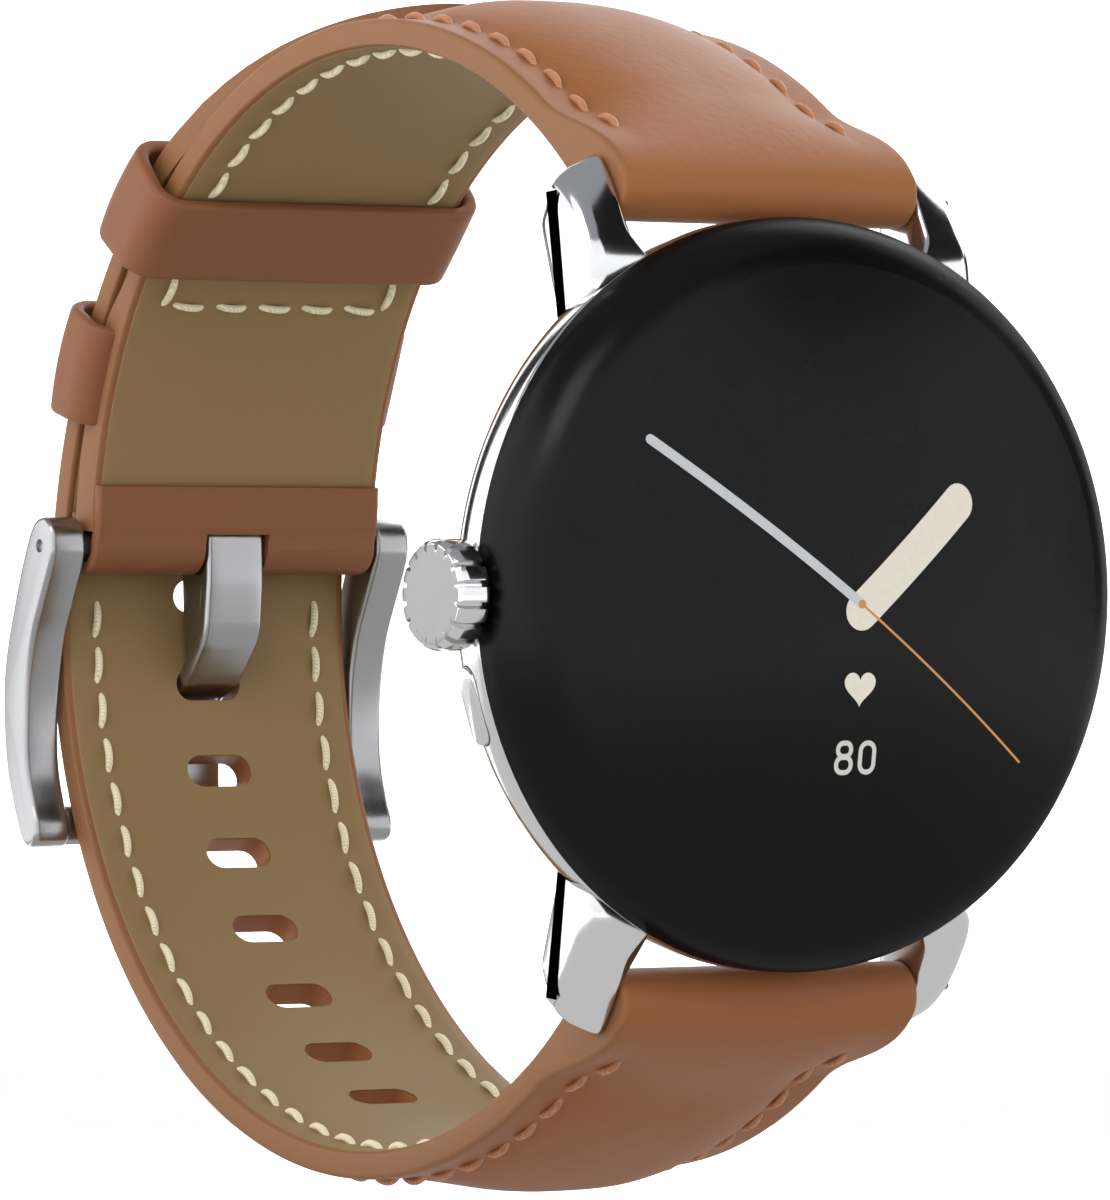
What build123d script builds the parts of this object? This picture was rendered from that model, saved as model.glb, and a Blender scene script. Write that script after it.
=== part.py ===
from build123d import *
from math import atan, atan2, cos, degrees, hypot, pi, radians, sin, sqrt
import os

# Round smartwatch on a two-piece leather strap, closed into a loop by a pin buckle.
# Frame in mm: origin at the centre of the flat of the back cover, +X towards 3 o'clock (the crown is
# on the -X side), +Y out of the back towards the wrist, +Z towards 12 o'clock.

# Watch head
CASE_R = 20.5
HEAD_T = 12.3            # flat of the back to the crown of the glass
SEAM_Y = -5.6            # front edge of the metal ring, where the glass starts
GLASS_WIDE_Y = -6.3      # depth at which the glass is as wide as the case
GLASS_EDGE_R = 3.6       # rounding between the side and the face of the glass
GLASS_T = 1.2
DISPLAY_T = 0.7
CASE_BULGE_Y = -4.8      # widest depth of the metal ring
BACK_CURVE_R = 5.0       # reach of the curved back edge, across and ...
BACK_CURVE_D = 4.2       # ... in depth
CASE_WALL = 2.1
CASE_BORE_R = CASE_R - CASE_WALL
FLOOR_REACH = 4.8        # inward reach of the floor that the back cover sits on
LEDGE_R = CASE_BORE_R - FLOOR_REACH
LEDGE_T = 0.9
REBATE_D = 0.85          # step that the glass is sunk into
COVER_DOME_D = 0.6       # domed part of the back cover, proud of the case
COVER_FLANGE_T = 0.7
SEAL_T = 0.2
WINDOW_R = 6.5
FIT = 0.05               # sliding and seating clearance between hard parts
GAP = 0.15               # clearance between soft or loose parts

# Crown, on the -X side
CROWN_Y = -4.57
CROWN_TOOTH_R = 3.0
CROWN_GROOVE_R = 2.68
CROWN_FACE_R = 2.58
CROWN_TEETH = 16
CROWN_REACH = 2.25       # end face beyond the case
CROWN_CLEAR = 0.3        # from the teeth to the glass, more than the travel
CROWN_FACE_X = -(CASE_R + CROWN_REACH)
CROWN_TOOTH_L = CROWN_REACH - CROWN_CLEAR
CROWN_COLLAR_R = 2.2
CROWN_TRAVEL = 0.25
POCKET_DEPTH = 1.15
POCKET_FLOOR_X = POCKET_DEPTH - CASE_R
STEM_R = 0.75
TUBE_WALL = 0.5
O_RING_T = 0.25
TUBE_L = 2.35

# Side button, below the crown
BUTTON_ANGLE = 197.0     # about +Y, from +X towards +Z on the far side
BUTTON_L = 4.4
BUTTON_W = 1.5
BUTTON_Y = -3.95
BUTTON_PROUD = 0.1
BUTTON_T = 1.3
BUTTON_TRAVEL = 0.2

# Lugs and spring bars
LUG_GAP = 20.0
LUG_T = 3.2
BAR_Y = -2.35
BAR_CLEAR = 1.6          # from the case to the axis of a spring bar
BAR_Z = CASE_R + BAR_CLEAR
LUG_TIP_Z = BAR_Z + 1.7
BAR_TUBE_R = 0.75
BAR_TUBE_L = LUG_GAP - 2.6
BAR_TIP_R = 0.5
BAR_TIP_DEPTH = 1.0      # how far each tip stands in its lug
BAR_TIP_TRAVEL = 1.2

# Strap: both halves are bent to arcs about axes along X
STRAP_W = LUG_GAP - 0.2
TOP_SPREAD = 7.05        # how much wider the arc of the 12 o'clock half is than the spring bars
BOTTOM_SPREAD = 8.55     # ... and that of the 6 o'clock half
TOP_R = BAR_Z + TOP_SPREAD       # inner face of the 12 o'clock half
BOTTOM_R = BAR_Z + BOTTOM_SPREAD
LINING_T = 0.8
LEATHER_T = 0.8
PAD_T = 1.4              # rise of the padded middle
ROLL_R = BAR_TUBE_R + GAP + 1.0
TAIL_START = 8.0         # angles of the tail, which lies over the other strap
TAIL_END = 79.0
TAIL_TIP_ANGLE = 80.852  # angle of the tail's tip about the axis of the other half ...
TAIL_CLEAR = 0.318       # ... and its distance from that half's leather
TAIL_TIP_L = 22.0        # length of the tail's half-elliptical tip
TONGUE_W = 4.0
TONGUE_T = 1.05
HOLE_L = TONGUE_W + 0.4
HOLE_W = TONGUE_T + 0.85
HOLE_PITCH = 5.3
HOLES = 8
USED_HOLE = -8.8         # angle of the hole that the tongue is in
STITCH_INSET = 2.24
STITCH_X = STRAP_W / 2 - STITCH_INSET
PAD_HALF = STITCH_X - 0.06
STITCH_L = 2.13
STITCH_PITCH = 2.72
THREAD_R = 0.24

# Buckle and keepers
BUCKLE_REACH = 29.43     # from the depth of the case's half height to the buckle's bar
BUCKLE_Y = BAR_Z + BUCKLE_REACH
BUCKLE_Z = 2.9
BUCKLE_BAR_R = 0.75
FOLD_R = BUCKLE_BAR_R + GAP + LEATHER_T - 0.1
ARM_IN_X = STRAP_W / 2 + 0.3
ARM_T = 2.45
KEEPER_T = 0.9
KEEPER_W = STRAP_W + 1.1   # clear width inside the free keeper
KEEPER_MID = 41.9        # angle of the free keeper about the top axis
KEEPER_ARC = 11.4
FIXED_KEEPER_START = 16.0
FIXED_KEEPER_ARC = 11.6
FIXED_KEEPER_T = 0.55
KEEPER_CLEAR = 0.25      # between a keeper and the tail, over the free keeper's travel
KEEPER_TRAVEL = 7.5      # degrees towards the buckle

TOP_BAR_R = TOP_R + 1.98         # from the top axis to the spring bar ...
TOP_BUCKLE_R = TOP_R + 1.33      # ... and to the buckle's bar
BOTTOM_BAR_R = BOTTOM_R + 2.45
BOTTOM_BUCKLE_R = BOTTOM_R - FOLD_R - GAP    # the holed half passes outside the fold


def arc_centre(bar_z, bar_r, buckle_r):
    """Point (y, z) at one distance from a spring bar and another from the buckle's bar."""
    dy = BUCKLE_Y - BAR_Y
    dz = BUCKLE_Z - bar_z
    span = hypot(dy, dz)
    along = (bar_r ** 2 - buckle_r ** 2 + span ** 2) / (2 * span)
    across = sqrt(bar_r ** 2 - along ** 2) * (1 if bar_z > 0 else -1)
    return BAR_Y + (along * dy + across * dz) / span, bar_z + (along * dz - across * dy) / span


TOP_Y, TOP_Z = arc_centre(BAR_Z, TOP_BAR_R, TOP_BUCKLE_R)
BOTTOM_Y, BOTTOM_Z = arc_centre(-BAR_Z, BOTTOM_BAR_R, BOTTOM_BUCKLE_R)
TOP_AXIS = Axis((0, TOP_Y, TOP_Z), (1, 0, 0))
BOTTOM_AXIS = Axis((0, BOTTOM_Y, BOTTOM_Z), (1, 0, 0))


def on_arc(axis_y, axis_z, radius, angle):
    """Point (y, z) at an angle about a strap axis."""
    a = radians(angle)
    return axis_y + radius * cos(a), axis_z + radius * sin(a)


def ring_y(outer, inner, y0, y1):
    """Flat ring about the Y axis between two depths."""
    ring = Cylinder(outer, y1 - y0) - Cylinder(inner, y1 - y0) if inner > 0 else Cylinder(outer, y1 - y0)
    return Pos(0, (y0 + y1) / 2, 0) * Rot(90, 0, 0) * ring


def rod_x(radius, x0, x1, y=0.0, z=0.0, bore=0.0):
    """Round bar along X, hollow if it has a bore."""
    bar = Cylinder(radius, abs(x1 - x0))
    if bore:
        bar -= Cylinder(bore, abs(x1 - x0))
    return Pos((x0 + x1) / 2, y, z) * Rot(0, 90, 0) * bar


def block(x0, x1, y0, y1, z0, z1):
    """Box between two corners."""
    return Pos((x0 + x1) / 2, (y0 + y1) / 2, (z0 + z1) / 2) * Box(x1 - x0, y1 - y0, z1 - z0)


def side_plate(outline, x0, x1):
    """Outline drawn in (y, z), made into a plate between two X values."""
    face = Plane.YZ * outline
    return Pos(x0, 0, 0) * extrude(face, x1 - x0, dir=(1, 0, 0))


def strap_arc(axis, axis_y, axis_z, section, start, end):
    """Strap layer: section in (x, radius) swept about a strap axis."""
    face = Pos(0, axis_y, axis_z) * section
    return revolve(face, axis=axis, revolution_arc=end - start).rotate(axis, start)


def flat_section(r0, r1, width=STRAP_W):
    """Rectangular strap section between two radii."""
    return Pos(0, (r0 + r1) / 2) * Rectangle(width, r1 - r0)


def padded_section(r0, edge, crown, width, pad_half):
    """Section with thin edges and a bulged middle."""
    rim = [(-pad_half, r0 + edge), (-width / 2, r0 + edge), (-width / 2, r0)]
    rim += [(width / 2, r0), (width / 2, r0 + edge), (pad_half, r0 + edge)]
    top = ThreePointArc((pad_half, r0 + edge), (0, r0 + crown), (-pad_half, r0 + edge))
    return make_face(Polyline(*rim) + top)


# ---------------------------------------------------------------- watch head

def dome(inset, base_y):
    """Glass dome shrunk by an inset, cut off flat at base_y."""
    edge_r = GLASS_EDGE_R - inset
    edge_c = CASE_R - GLASS_EDGE_R
    turn = 2 * atan((HEAD_T + GLASS_WIDE_Y - GLASS_EDGE_R) / edge_c)
    crown_r = edge_c / sin(turn) + edge_r
    apex = -HEAD_T + inset
    joint = (crown_r * sin(turn), apex + crown_r * (1 - cos(turn)))
    crown_mid = (crown_r * sin(turn / 2), apex + crown_r * (1 - cos(turn / 2)))
    mid = (turn + pi / 2) / 2
    edge_mid = (edge_c + edge_r * sin(mid), GLASS_WIDE_Y - edge_r * cos(mid))
    side = (edge_c + edge_r, GLASS_WIDE_Y)
    lines = ThreePointArc((0, apex), crown_mid, joint) + ThreePointArc(joint, edge_mid, side)
    lines += Polyline(side, (side[0], base_y), (0, base_y), (0, apex))
    return revolve(make_face(lines), axis=Axis.Y)


def make_cover_glass():
    """Domed glass with a flange that sits in the case's rebate."""
    flange_r = CASE_R - 0.85
    glass = dome(0, SEAM_Y) + ring_y(flange_r, 0, SEAM_Y, SEAM_Y + REBATE_D - SEAL_T)
    hollow = dome(GLASS_T, SEAM_Y) & ring_y(CASE_BORE_R - 0.4, 0, -HEAD_T, 0)
    glass -= hollow
    glass -= ring_y(CASE_BORE_R - 0.4, 0, SEAM_Y, 0)
    return glass - crown_pocket(0.1) - tube_notch()


def make_display_panel():
    """Curved display laminated to the underside of the glass."""
    reach = ring_y(CASE_BORE_R - 3.2, 0, -HEAD_T, 0)
    return (dome(GLASS_T + FIT, -6.5) - dome(GLASS_T + FIT + DISPLAY_T, -6.5)) & reach


def case_profile():
    """Half section of the solid case body: straight side, then a curved back edge."""
    flat_r = CASE_R - BACK_CURVE_R
    end_y = CASE_BULGE_Y + BACK_CURVE_D
    bevel = 0.2
    half = Polyline((0, SEAM_Y), (CASE_R - bevel - 0.1, SEAM_Y), (CASE_R - 0.02, SEAM_Y + bevel))
    side = Line((CASE_R - 0.02, SEAM_Y + bevel), (CASE_R, CASE_BULGE_Y))
    curve = EllipticalCenterArc((flat_r, CASE_BULGE_Y), BACK_CURVE_R, BACK_CURVE_D,
                                start_angle=0, arc_size=90)
    close = Polyline((flat_r, end_y), (0, end_y), (0, SEAM_Y))
    return make_face(half + side + curve + close)


def crown_pocket(extra):
    """Round pocket that the crown's collar sinks into."""
    return rod_x(CROWN_COLLAR_R + 0.15 + extra, POCKET_FLOOR_X, -CASE_R - 2, CROWN_Y)


def tube_notch():
    """Notch that clears the crown's tube."""
    return rod_x(STEM_R + TUBE_WALL + GAP, -CASE_R, 3 - CASE_R, CROWN_Y)


def radial(shape, angle):
    """Turn a shape built outwards along +X to an angle about the Y axis."""
    return Rot(0, -angle, 0) * shape


def button_prism(grow, r0, r1):
    """Slot-shaped prism of the side button between two radii."""
    slot = SlotOverall(BUTTON_L + 2 * grow, BUTTON_W + 2 * grow)
    prism = extrude(Plane.YZ * Rot(0, 0, 90) * slot, r1 - r0, dir=(1, 0, 0))
    return radial(Pos(r0, BUTTON_Y, 0) * prism, BUTTON_ANGLE)


def button_rod(radius, r0, r1, bore=0.0):
    """Round part of the side button's stem, seal or switch."""
    return radial(rod_x(radius, r0, r1, BUTTON_Y, 0, bore), BUTTON_ANGLE)


def lug_outline():
    """Side view of one lug in (y, z)."""
    z = BAR_Z
    front = [(SEAM_Y + 0.2, z - 6.6), (SEAM_Y + 0.25, z - 4.5), (BAR_Y - 2.25, z - 2.5), (BAR_Y - 1.05, z - 0.2)]
    tip = [(BAR_Y + 0.05, LUG_TIP_Z), (BAR_Y + 1.05, LUG_TIP_Z)]
    back = [(BAR_Y + 2.05, z + 0.1), (BAR_Y + 2.3, z - 1.5), (BAR_Y + 1.9, z - 3.9), (BAR_Y + 0.75, z - 6.6)]
    return make_face(Polyline(*front, *tip, *back, close=True))


def make_lug():
    """Lug on the +X, +Z corner: side outline trimmed by a sloped tip."""
    x0 = LUG_GAP / 2
    x1 = x0 + LUG_T
    lug = side_plate(lug_outline(), x0, x1)
    tip = Polyline((x0 + 0.8, LUG_TIP_Z + 1), (x0 + 0.8, LUG_TIP_Z), (x1 - 0.5, LUG_TIP_Z - 1.1),
                   (x1, LUG_TIP_Z - 1.9), (x1 + 1, LUG_TIP_Z - 1.9), (x1 + 1, LUG_TIP_Z + 1), close=True)
    slope = extrude(Plane.XZ * make_face(tip), 20, both=True)
    bore = rod_x(BAR_TIP_R + FIT, x0 - 1, x0 + BAR_TIP_DEPTH + 0.15, BAR_Y, BAR_Z)
    return lug - slope - bore


def make_mid_case():
    """Polished steel ring with four lugs, crown pocket, button slot and glass rebate."""
    body = revolve(case_profile(), axis=Axis.Y)
    lug = make_lug()
    pair = lug + mirror(lug, Plane.YZ)
    body += pair
    body += mirror(pair, Plane.XY)
    floor_y = CASE_BULGE_Y + BACK_CURVE_D - COVER_FLANGE_T - SEAL_T
    body -= ring_y(CASE_R - 0.8, 0, SEAM_Y - 1, SEAM_Y + REBATE_D)
    body -= ring_y(CASE_BORE_R, 0, SEAM_Y, floor_y - LEDGE_T)
    body -= ring_y(LEDGE_R, 0, SEAM_Y, 1)
    body -= ring_y(LEDGE_R + 1.5, 0, floor_y, 1)
    body -= crown_pocket(0)
    body -= rod_x(STEM_R + TUBE_WALL, POCKET_FLOOR_X - 1, 0, CROWN_Y)
    body -= button_prism(0.08, CASE_R - BUTTON_T - BUTTON_TRAVEL - 0.1, CASE_R + 2)
    body -= button_rod(0.55, CASE_BORE_R - 1, CASE_R)
    for screw in screw_places():
        body -= screw * Cylinder(0.32, 6)
    return body


def make_glass_seal():
    """Adhesive ring under the glass flange."""
    ring = ring_y(CASE_R - 0.95, CASE_BORE_R + 0.1, SEAM_Y + REBATE_D - SEAL_T, SEAM_Y + REBATE_D)
    return ring - tube_notch()


def cover_edge_y():
    """Depth of the back edge of the case, where the cover's dome starts."""
    return CASE_BULGE_Y + BACK_CURVE_D


def screw_places():
    """Places of the four back screws, with Z along their axis."""
    return [Rot(0, 45 + 90 * i, 0) * Pos(LEDGE_R + 0.8, 0, 0) * Rot(90, 0, 0) for i in range(4)]


def make_back_cover():
    """Domed back with a flange, a window recess and four screw holes."""
    edge = cover_edge_y()
    flange_r = LEDGE_R + 1.5 - FIT
    outline = Polyline((0, edge - COVER_FLANGE_T), (flange_r, edge - COVER_FLANGE_T), (flange_r, edge),
                       (flange_r - 1.6, 0), (0, 0), close=True)
    cover = revolve(make_face(outline), axis=Axis.Y)
    cover -= ring_y(WINDOW_R + FIT, 0, -COVER_DOME_D, 1)
    cover -= ring_y(WINDOW_R - 0.8, 0, -5, 1)
    for screw in screw_places():
        cover -= screw * Pos(0, 0, 0) * Cylinder(0.38, 6)
        cover -= screw * Pos(0, 0, 0.25 - edge) * Cylinder(0.75, 1.0)
    return cover


def make_back_screws():
    """Four countersunk screws through the back cover."""
    edge = cover_edge_y()
    head = Pos(0, 0, -edge) * Cylinder(0.68, 0.4)
    shank = Pos(0, 0, -edge + 0.8) * Cylinder(0.3, 1.6)
    drive = Pos(0, 0, -edge - 0.2) * Box(0.9, 0.18, 0.3)
    return Compound(children=[screw * (head + shank - drive) for screw in screw_places()])


def make_sensor_window():
    """Clear disc let into the middle of the back, flush with it."""
    return ring_y(WINDOW_R, 0, -COVER_DOME_D + FIT, 0)


# ---------------------------------------------------------------- inside the head

BOARD_Y = -7.3
CHASSIS_Y = -8.2
BATTERY_Y = -5.4
BATTERY_R = CASE_BORE_R - 8.8
COIL_Y = -1.45
FLEX_Z = 5.2 - CASE_BORE_R


def make_chassis():
    """Thin frame behind the display, with openings for the flex and the screws."""
    plate = ring_y(CASE_BORE_R - 3.4, 0, CHASSIS_Y, CHASSIS_Y + 0.6)
    plate -= block(-4, 4, CHASSIS_Y - 1, CHASSIS_Y + 1, FLEX_Z - 0.8, FLEX_Z + 0.8)
    return plate - block(-7, 7, CHASSIS_Y - 1, CHASSIS_Y + 1, 4, 9)


def make_display_flex():
    """Flat ribbon from the display down through the chassis slot to the board."""
    return block(-3.2, 3.2, CHASSIS_Y - 0.35, BOARD_Y - FIT, FLEX_Z - 0.15, FLEX_Z + 0.15)


def make_main_board():
    """Round main board with a notch beside the crown's encoder."""
    board = ring_y(CASE_BORE_R - 3.8, 0, BOARD_Y, BOARD_Y + 0.7)
    return board - block(-CASE_BORE_R, 5.8 - CASE_BORE_R, BOARD_Y - 1, BOARD_Y + 2, -3, 3)


def make_battery():
    """Coin-shaped rechargeable cell."""
    return ring_y(BATTERY_R, 0, BATTERY_Y, BATTERY_Y + 3.6)


def sensor_board_parts():
    """Board behind the back window with its emitters and detector."""
    board = ring_y(5.4, 0, COIL_Y - 0.1, COIL_Y + 0.3)
    chips = [Pos(r * cos(a), COIL_Y + 0.5, r * sin(a)) * Box(1.3, 0.4, 1.3)
             for r, a in [(0, 0)] + [(3.2, pi / 4 + pi / 2 * i) for i in range(4)]]
    return board, Compound(children=chips)


def inner_parts():
    """Electronics and motor in the case, placed side by side about the battery."""
    front = BOARD_Y + 0.7 + FIT
    side = BATTERY_R + 0.8
    sensor_board, sensor_leds = sensor_board_parts()
    return {
        "chassis": make_chassis(),
        "display_flex": make_display_flex(),
        "main_board": make_main_board(),
        "processor_shield": block(-5.5, 5.5, front, BATTERY_Y - 0.1, -5, 5),
        "battery": make_battery(),
        "haptic_motor": block(-5, 5, BATTERY_Y, BATTERY_Y + 2.6, -side - 4.2, -side),
        "speaker": block(-4.5, 4.5, BATTERY_Y, BATTERY_Y + 2.4, side, side + 4.6),
        "microphone": block(side + 0.6, side + 3.6, BATTERY_Y, BATTERY_Y + 1, 5.5, 7.5),
        "charging_coil": ring_y(LEDGE_R - 2.1, LEDGE_R - 5.6, COIL_Y - 0.1, COIL_Y + 0.1),
        "sensor_board": sensor_board,
        "sensor_leds": sensor_leds,
        "back_seal": ring_y(LEDGE_R + 0.35, LEDGE_R + 0.05, cover_edge_y() - COVER_FLANGE_T - SEAL_T,
                            cover_edge_y() - COVER_FLANGE_T),
        "sensor_window": make_sensor_window(),
    }


# ---------------------------------------------------------------- crown and button

def make_crown_knob():
    """Fluted crown: flat face, chamfered teeth, and a plain collar behind them."""
    face_x = CROWN_FACE_X
    back_x = face_x + CROWN_TOOTH_L
    chamfer = CROWN_TOOTH_R - CROWN_FACE_R
    body = Polyline((face_x, 0), (face_x, CROWN_FACE_R), (face_x + chamfer, CROWN_TOOTH_R),
                    (back_x, CROWN_TOOTH_R), (back_x, CROWN_COLLAR_R),
                    (POCKET_FLOOR_X - CROWN_TRAVEL - 0.1, CROWN_COLLAR_R),
                    (POCKET_FLOOR_X - CROWN_TRAVEL - 0.1, 0), close=True)
    knob = revolve(make_face(body), axis=Axis.X)
    depth = CROWN_TOOTH_R - CROWN_GROOVE_R
    groove = Pos((face_x + back_x) / 2, CROWN_TOOTH_R, 0) * Box(CROWN_TOOTH_L + 1, 2 * depth, 0.32)
    for i in range(CROWN_TEETH):
        knob -= Rot(360 / CROWN_TEETH * (i + 0.5), 0, 0) * groove
    return Pos(0, CROWN_Y, 0) * knob


TUBE_END_X = POCKET_FLOOR_X + TUBE_L
STEM_END_X = TUBE_END_X + 1.1
CLIP_X = TUBE_END_X + 0.1


def make_crown_stem():
    """Stem with two O-ring grooves and a groove for the clip."""
    start = POCKET_FLOOR_X - CROWN_TRAVEL - 0.1
    stem = rod_x(STEM_R, start, STEM_END_X, CROWN_Y)
    for x in o_ring_places():
        stem -= rod_x(STEM_R + 1, x - O_RING_T, x + O_RING_T, CROWN_Y, 0, STEM_R - O_RING_T)
    stem -= rod_x(STEM_R + 1, CLIP_X, CLIP_X + 0.3, CROWN_Y, 0, STEM_R - 0.2)
    return stem


def o_ring_places():
    """X of the two O-rings, inside the tube at both ends of the travel."""
    return (POCKET_FLOOR_X + 0.6, POCKET_FLOOR_X + 1.4)


def make_crown_o_rings():
    """Two round seals in the stem's grooves."""
    ring = Rot(0, 90, 0) * Torus(STEM_R - O_RING_T / 2 + FIT / 4, O_RING_T / 2 - FIT / 4)
    return Compound(children=[Pos(x, CROWN_Y, 0) * ring for x in o_ring_places()])


def make_button():
    """Side button: a short arc of the ring, on a stem through the case wall."""
    ring = revolve(case_profile(), axis=Axis.Y)
    proud = radial(Pos(BUTTON_PROUD, 0, 0) * radial(ring, -BUTTON_ANGLE), BUTTON_ANGLE)
    cap = button_prism(0, CASE_R - BUTTON_T, CASE_R + 2) & proud
    return cap + button_rod(0.45, CASE_BORE_R - 0.5, CASE_R - BUTTON_T + 0.1)


def crown_and_button_parts():
    """Everything behind the two controls."""
    tube_r = STEM_R + TUBE_WALL
    clip = rod_x(STEM_R + 0.45, CLIP_X + FIT, CLIP_X + 0.25, CROWN_Y, 0, STEM_R - 0.15)
    clip -= block(CLIP_X - 1, CLIP_X + 1, CROWN_Y - 2, CROWN_Y, -0.5, 0.5)
    cap_x = STEM_END_X + FIT
    switch_x = cap_x + 0.6 + CROWN_TRAVEL + 0.1
    return {
        "crown_knob": make_crown_knob(),
        "crown_stem": make_crown_stem(),
        "crown_tube": rod_x(tube_r, POCKET_FLOOR_X + FIT, TUBE_END_X, CROWN_Y, 0, STEM_R + FIT),
        "crown_o_rings": make_crown_o_rings(),
        "crown_clip": clip,
        "crown_push_plate": rod_x(1.0, cap_x, cap_x + 0.6, CROWN_Y),
        "crown_switch": block(switch_x, switch_x + 1.4, CROWN_Y - 0.7, CROWN_Y + 1.3, -1.4, 1.4),
        "crown_encoder": block(CLIP_X + 0.6, STEM_END_X, CROWN_Y + 0.9, CROWN_Y + 1.6, -1.2, 1.2),
        "side_button": make_button(),
        "side_button_switch": button_rod(1.2, CASE_BORE_R - 2.4, CASE_BORE_R - 0.5 - BUTTON_TRAVEL - 0.1),
    }


# ---------------------------------------------------------------- spring bars

def spring_bar_parts(name, side):
    """Telescopic bar: tube, coil and two tips that push outwards into the lugs."""
    z = side * BAR_Z
    tip_end = LUG_GAP / 2 + BAR_TIP_DEPTH
    inner = tip_end - 4.2
    bore = BAR_TIP_R + FIT
    tip = rod_x(BAR_TIP_R, inner, tip_end, BAR_Y, z)
    half = inner - BAR_TIP_TRAVEL - FIT
    wire_r = 0.15
    coil_r = BAR_TIP_R - wire_r
    turns = 10
    path = Helix(2 * half / turns, 2 * half, coil_r)
    wire = sweep(Plane(path @ 0, z_dir=path % 0) * Circle(wire_r), path)
    spring = Pos(-half, BAR_Y, z) * Rot(0, 90, 0) * wire
    return {
        f"{name}_tube": rod_x(BAR_TUBE_R, -BAR_TUBE_L / 2, BAR_TUBE_L / 2, BAR_Y, z, bore),
        f"{name}_spring": spring,
        f"{name}_tip_right": tip,
        f"{name}_tip_left": mirror(tip, Plane.YZ),
    }


# ---------------------------------------------------------------- strap

LEATHER_R = TOP_R + LINING_T                     # inside of the top strap's outer leather
TOP_OUT_R = LEATHER_R + LEATHER_T
BUCKLE_ANGLE = degrees(atan2(BUCKLE_Z - TOP_Z, BUCKLE_Y - TOP_Y))
TOP_LUG_ANGLE = degrees(atan2(BAR_Z - TOP_Z, BAR_Y - TOP_Y))
BOTTOM_LUG_ANGLE = -degrees(atan2(BAR_Z + BOTTOM_Z, BAR_Y - BOTTOM_Y))
LINING_START = BUCKLE_ANGLE + 6.6
STEP_ANGLE = FIXED_KEEPER_START + FIXED_KEEPER_ARC + 1.2
BOARD_R = LEATHER_R + FIXED_KEEPER_T + 0.05      # leather is lifted here by the keeper's ends
STITCH_START = KEEPER_MID + KEEPER_ARC / 2 + 1.0
PAD_START = 86.0
BOTTOM_PAD_END = -92.0


def roll(z, width=STRAP_W):
    """Turned end of the strap round a spring bar."""
    return rod_x(ROLL_R, -width / 2, width / 2, BAR_Y, z)


def bar_bore(z):
    """Bore of the roll, for the spring bar's tube."""
    return rod_x(BAR_TUBE_R + GAP, -STRAP_W, STRAP_W, BAR_Y, z)


def top_layer(section, start, end):
    """Layer of the 12 o'clock strap."""
    return strap_arc(TOP_AXIS, TOP_Y, TOP_Z, section, start, end)


def bottom_layer(section, start, end):
    """Layer of the 6 o'clock strap."""
    return strap_arc(BOTTOM_AXIS, BOTTOM_Y, BOTTOM_Z, section, start, end)


def make_strap_12_outer():
    """Outer leather of the buckle strap, turned round the spring bar and the buckle bar."""
    start = BUCKLE_ANGLE + 1.5
    pad_end = TOP_LUG_ANGLE - 1.0
    leather = top_layer(flat_section(LEATHER_R, TOP_OUT_R), STEP_ANGLE, PAD_START)
    leather += top_layer(flat_section(BOARD_R, BOARD_R + LEATHER_T - 0.05), start, STEP_ANGLE)
    leather += top_layer(padded_section(LEATHER_R, LEATHER_T, LEATHER_T + PAD_T, STRAP_W, PAD_HALF),
                         PAD_START, pad_end)
    leather += roll(BAR_Z) - top_layer(flat_section(TOP_R - 1, LEATHER_R), TOP_LUG_ANGLE - 9,
                                       TOP_LUG_ANGLE - 3.9)
    leather -= top_layer(padded_section(LEATHER_R, 0.1, PAD_T, 2 * PAD_HALF - 1.2, PAD_HALF - 0.8),
                         PAD_START + 3, TOP_LUG_ANGLE - 4.5)
    leather -= bar_bore(BAR_Z)
    fold = rod_x(FOLD_R, -STRAP_W / 2, STRAP_W / 2, BUCKLE_Y, BUCKLE_Z)
    flap = top_layer(flat_section(TOP_R - 0.1, LEATHER_R), BUCKLE_ANGLE + 0.2, LINING_START - 0.2)
    leather += fold + flap
    leather -= rod_x(BUCKLE_BAR_R + GAP, -STRAP_W, STRAP_W, BUCKLE_Y, BUCKLE_Z)
    slot = TONGUE_W / 2 + GAP
    return leather - block(-slot, slot, BUCKLE_Y - 4, BUCKLE_Y + 4, BUCKLE_Z - 3, BUCKLE_Z + FOLD_R + 0.3)


def make_strap_12_filler():
    """Padding inside the buckle strap."""
    return top_layer(padded_section(LEATHER_R + 0.02, 0.02, PAD_T - 0.05, 2 * PAD_HALF - 1.4,
                                    PAD_HALF - 0.9), PAD_START + 3.3, TOP_LUG_ANGLE - 4.8)


def make_strap_12_stiffener():
    """Thin board between the layers beside the buckle."""
    return top_layer(flat_section(LEATHER_R + 0.02, BOARD_R - 0.02, STRAP_W - 2),
                     BUCKLE_ANGLE + 4.2, FIXED_KEEPER_START - 0.3)


def tail_radius():
    """Inner radius of the tail: tangent to the strap where it starts, clear of the other half at its tip."""
    start_y, start_z = on_arc(BOTTOM_Y, BOTTOM_Z, BOTTOM_R, TAIL_START)
    tip_y, tip_z = on_arc(TOP_Y, TOP_Z, TOP_OUT_R + TAIL_CLEAR, TAIL_TIP_ANGLE)
    dy, dz = tip_y - start_y, tip_z - start_z
    outward = dy * cos(radians(TAIL_START)) + dz * sin(radians(TAIL_START))
    return -hypot(dy, dz) ** 2 / (2 * outward)


TAIL_R = tail_radius()


def tail_centre():
    """Axis of the tail's arc, tangent to the strap's own arc where the tail starts."""
    return on_arc(BOTTOM_Y, BOTTOM_Z, BOTTOM_R - TAIL_R, TAIL_START)


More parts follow.
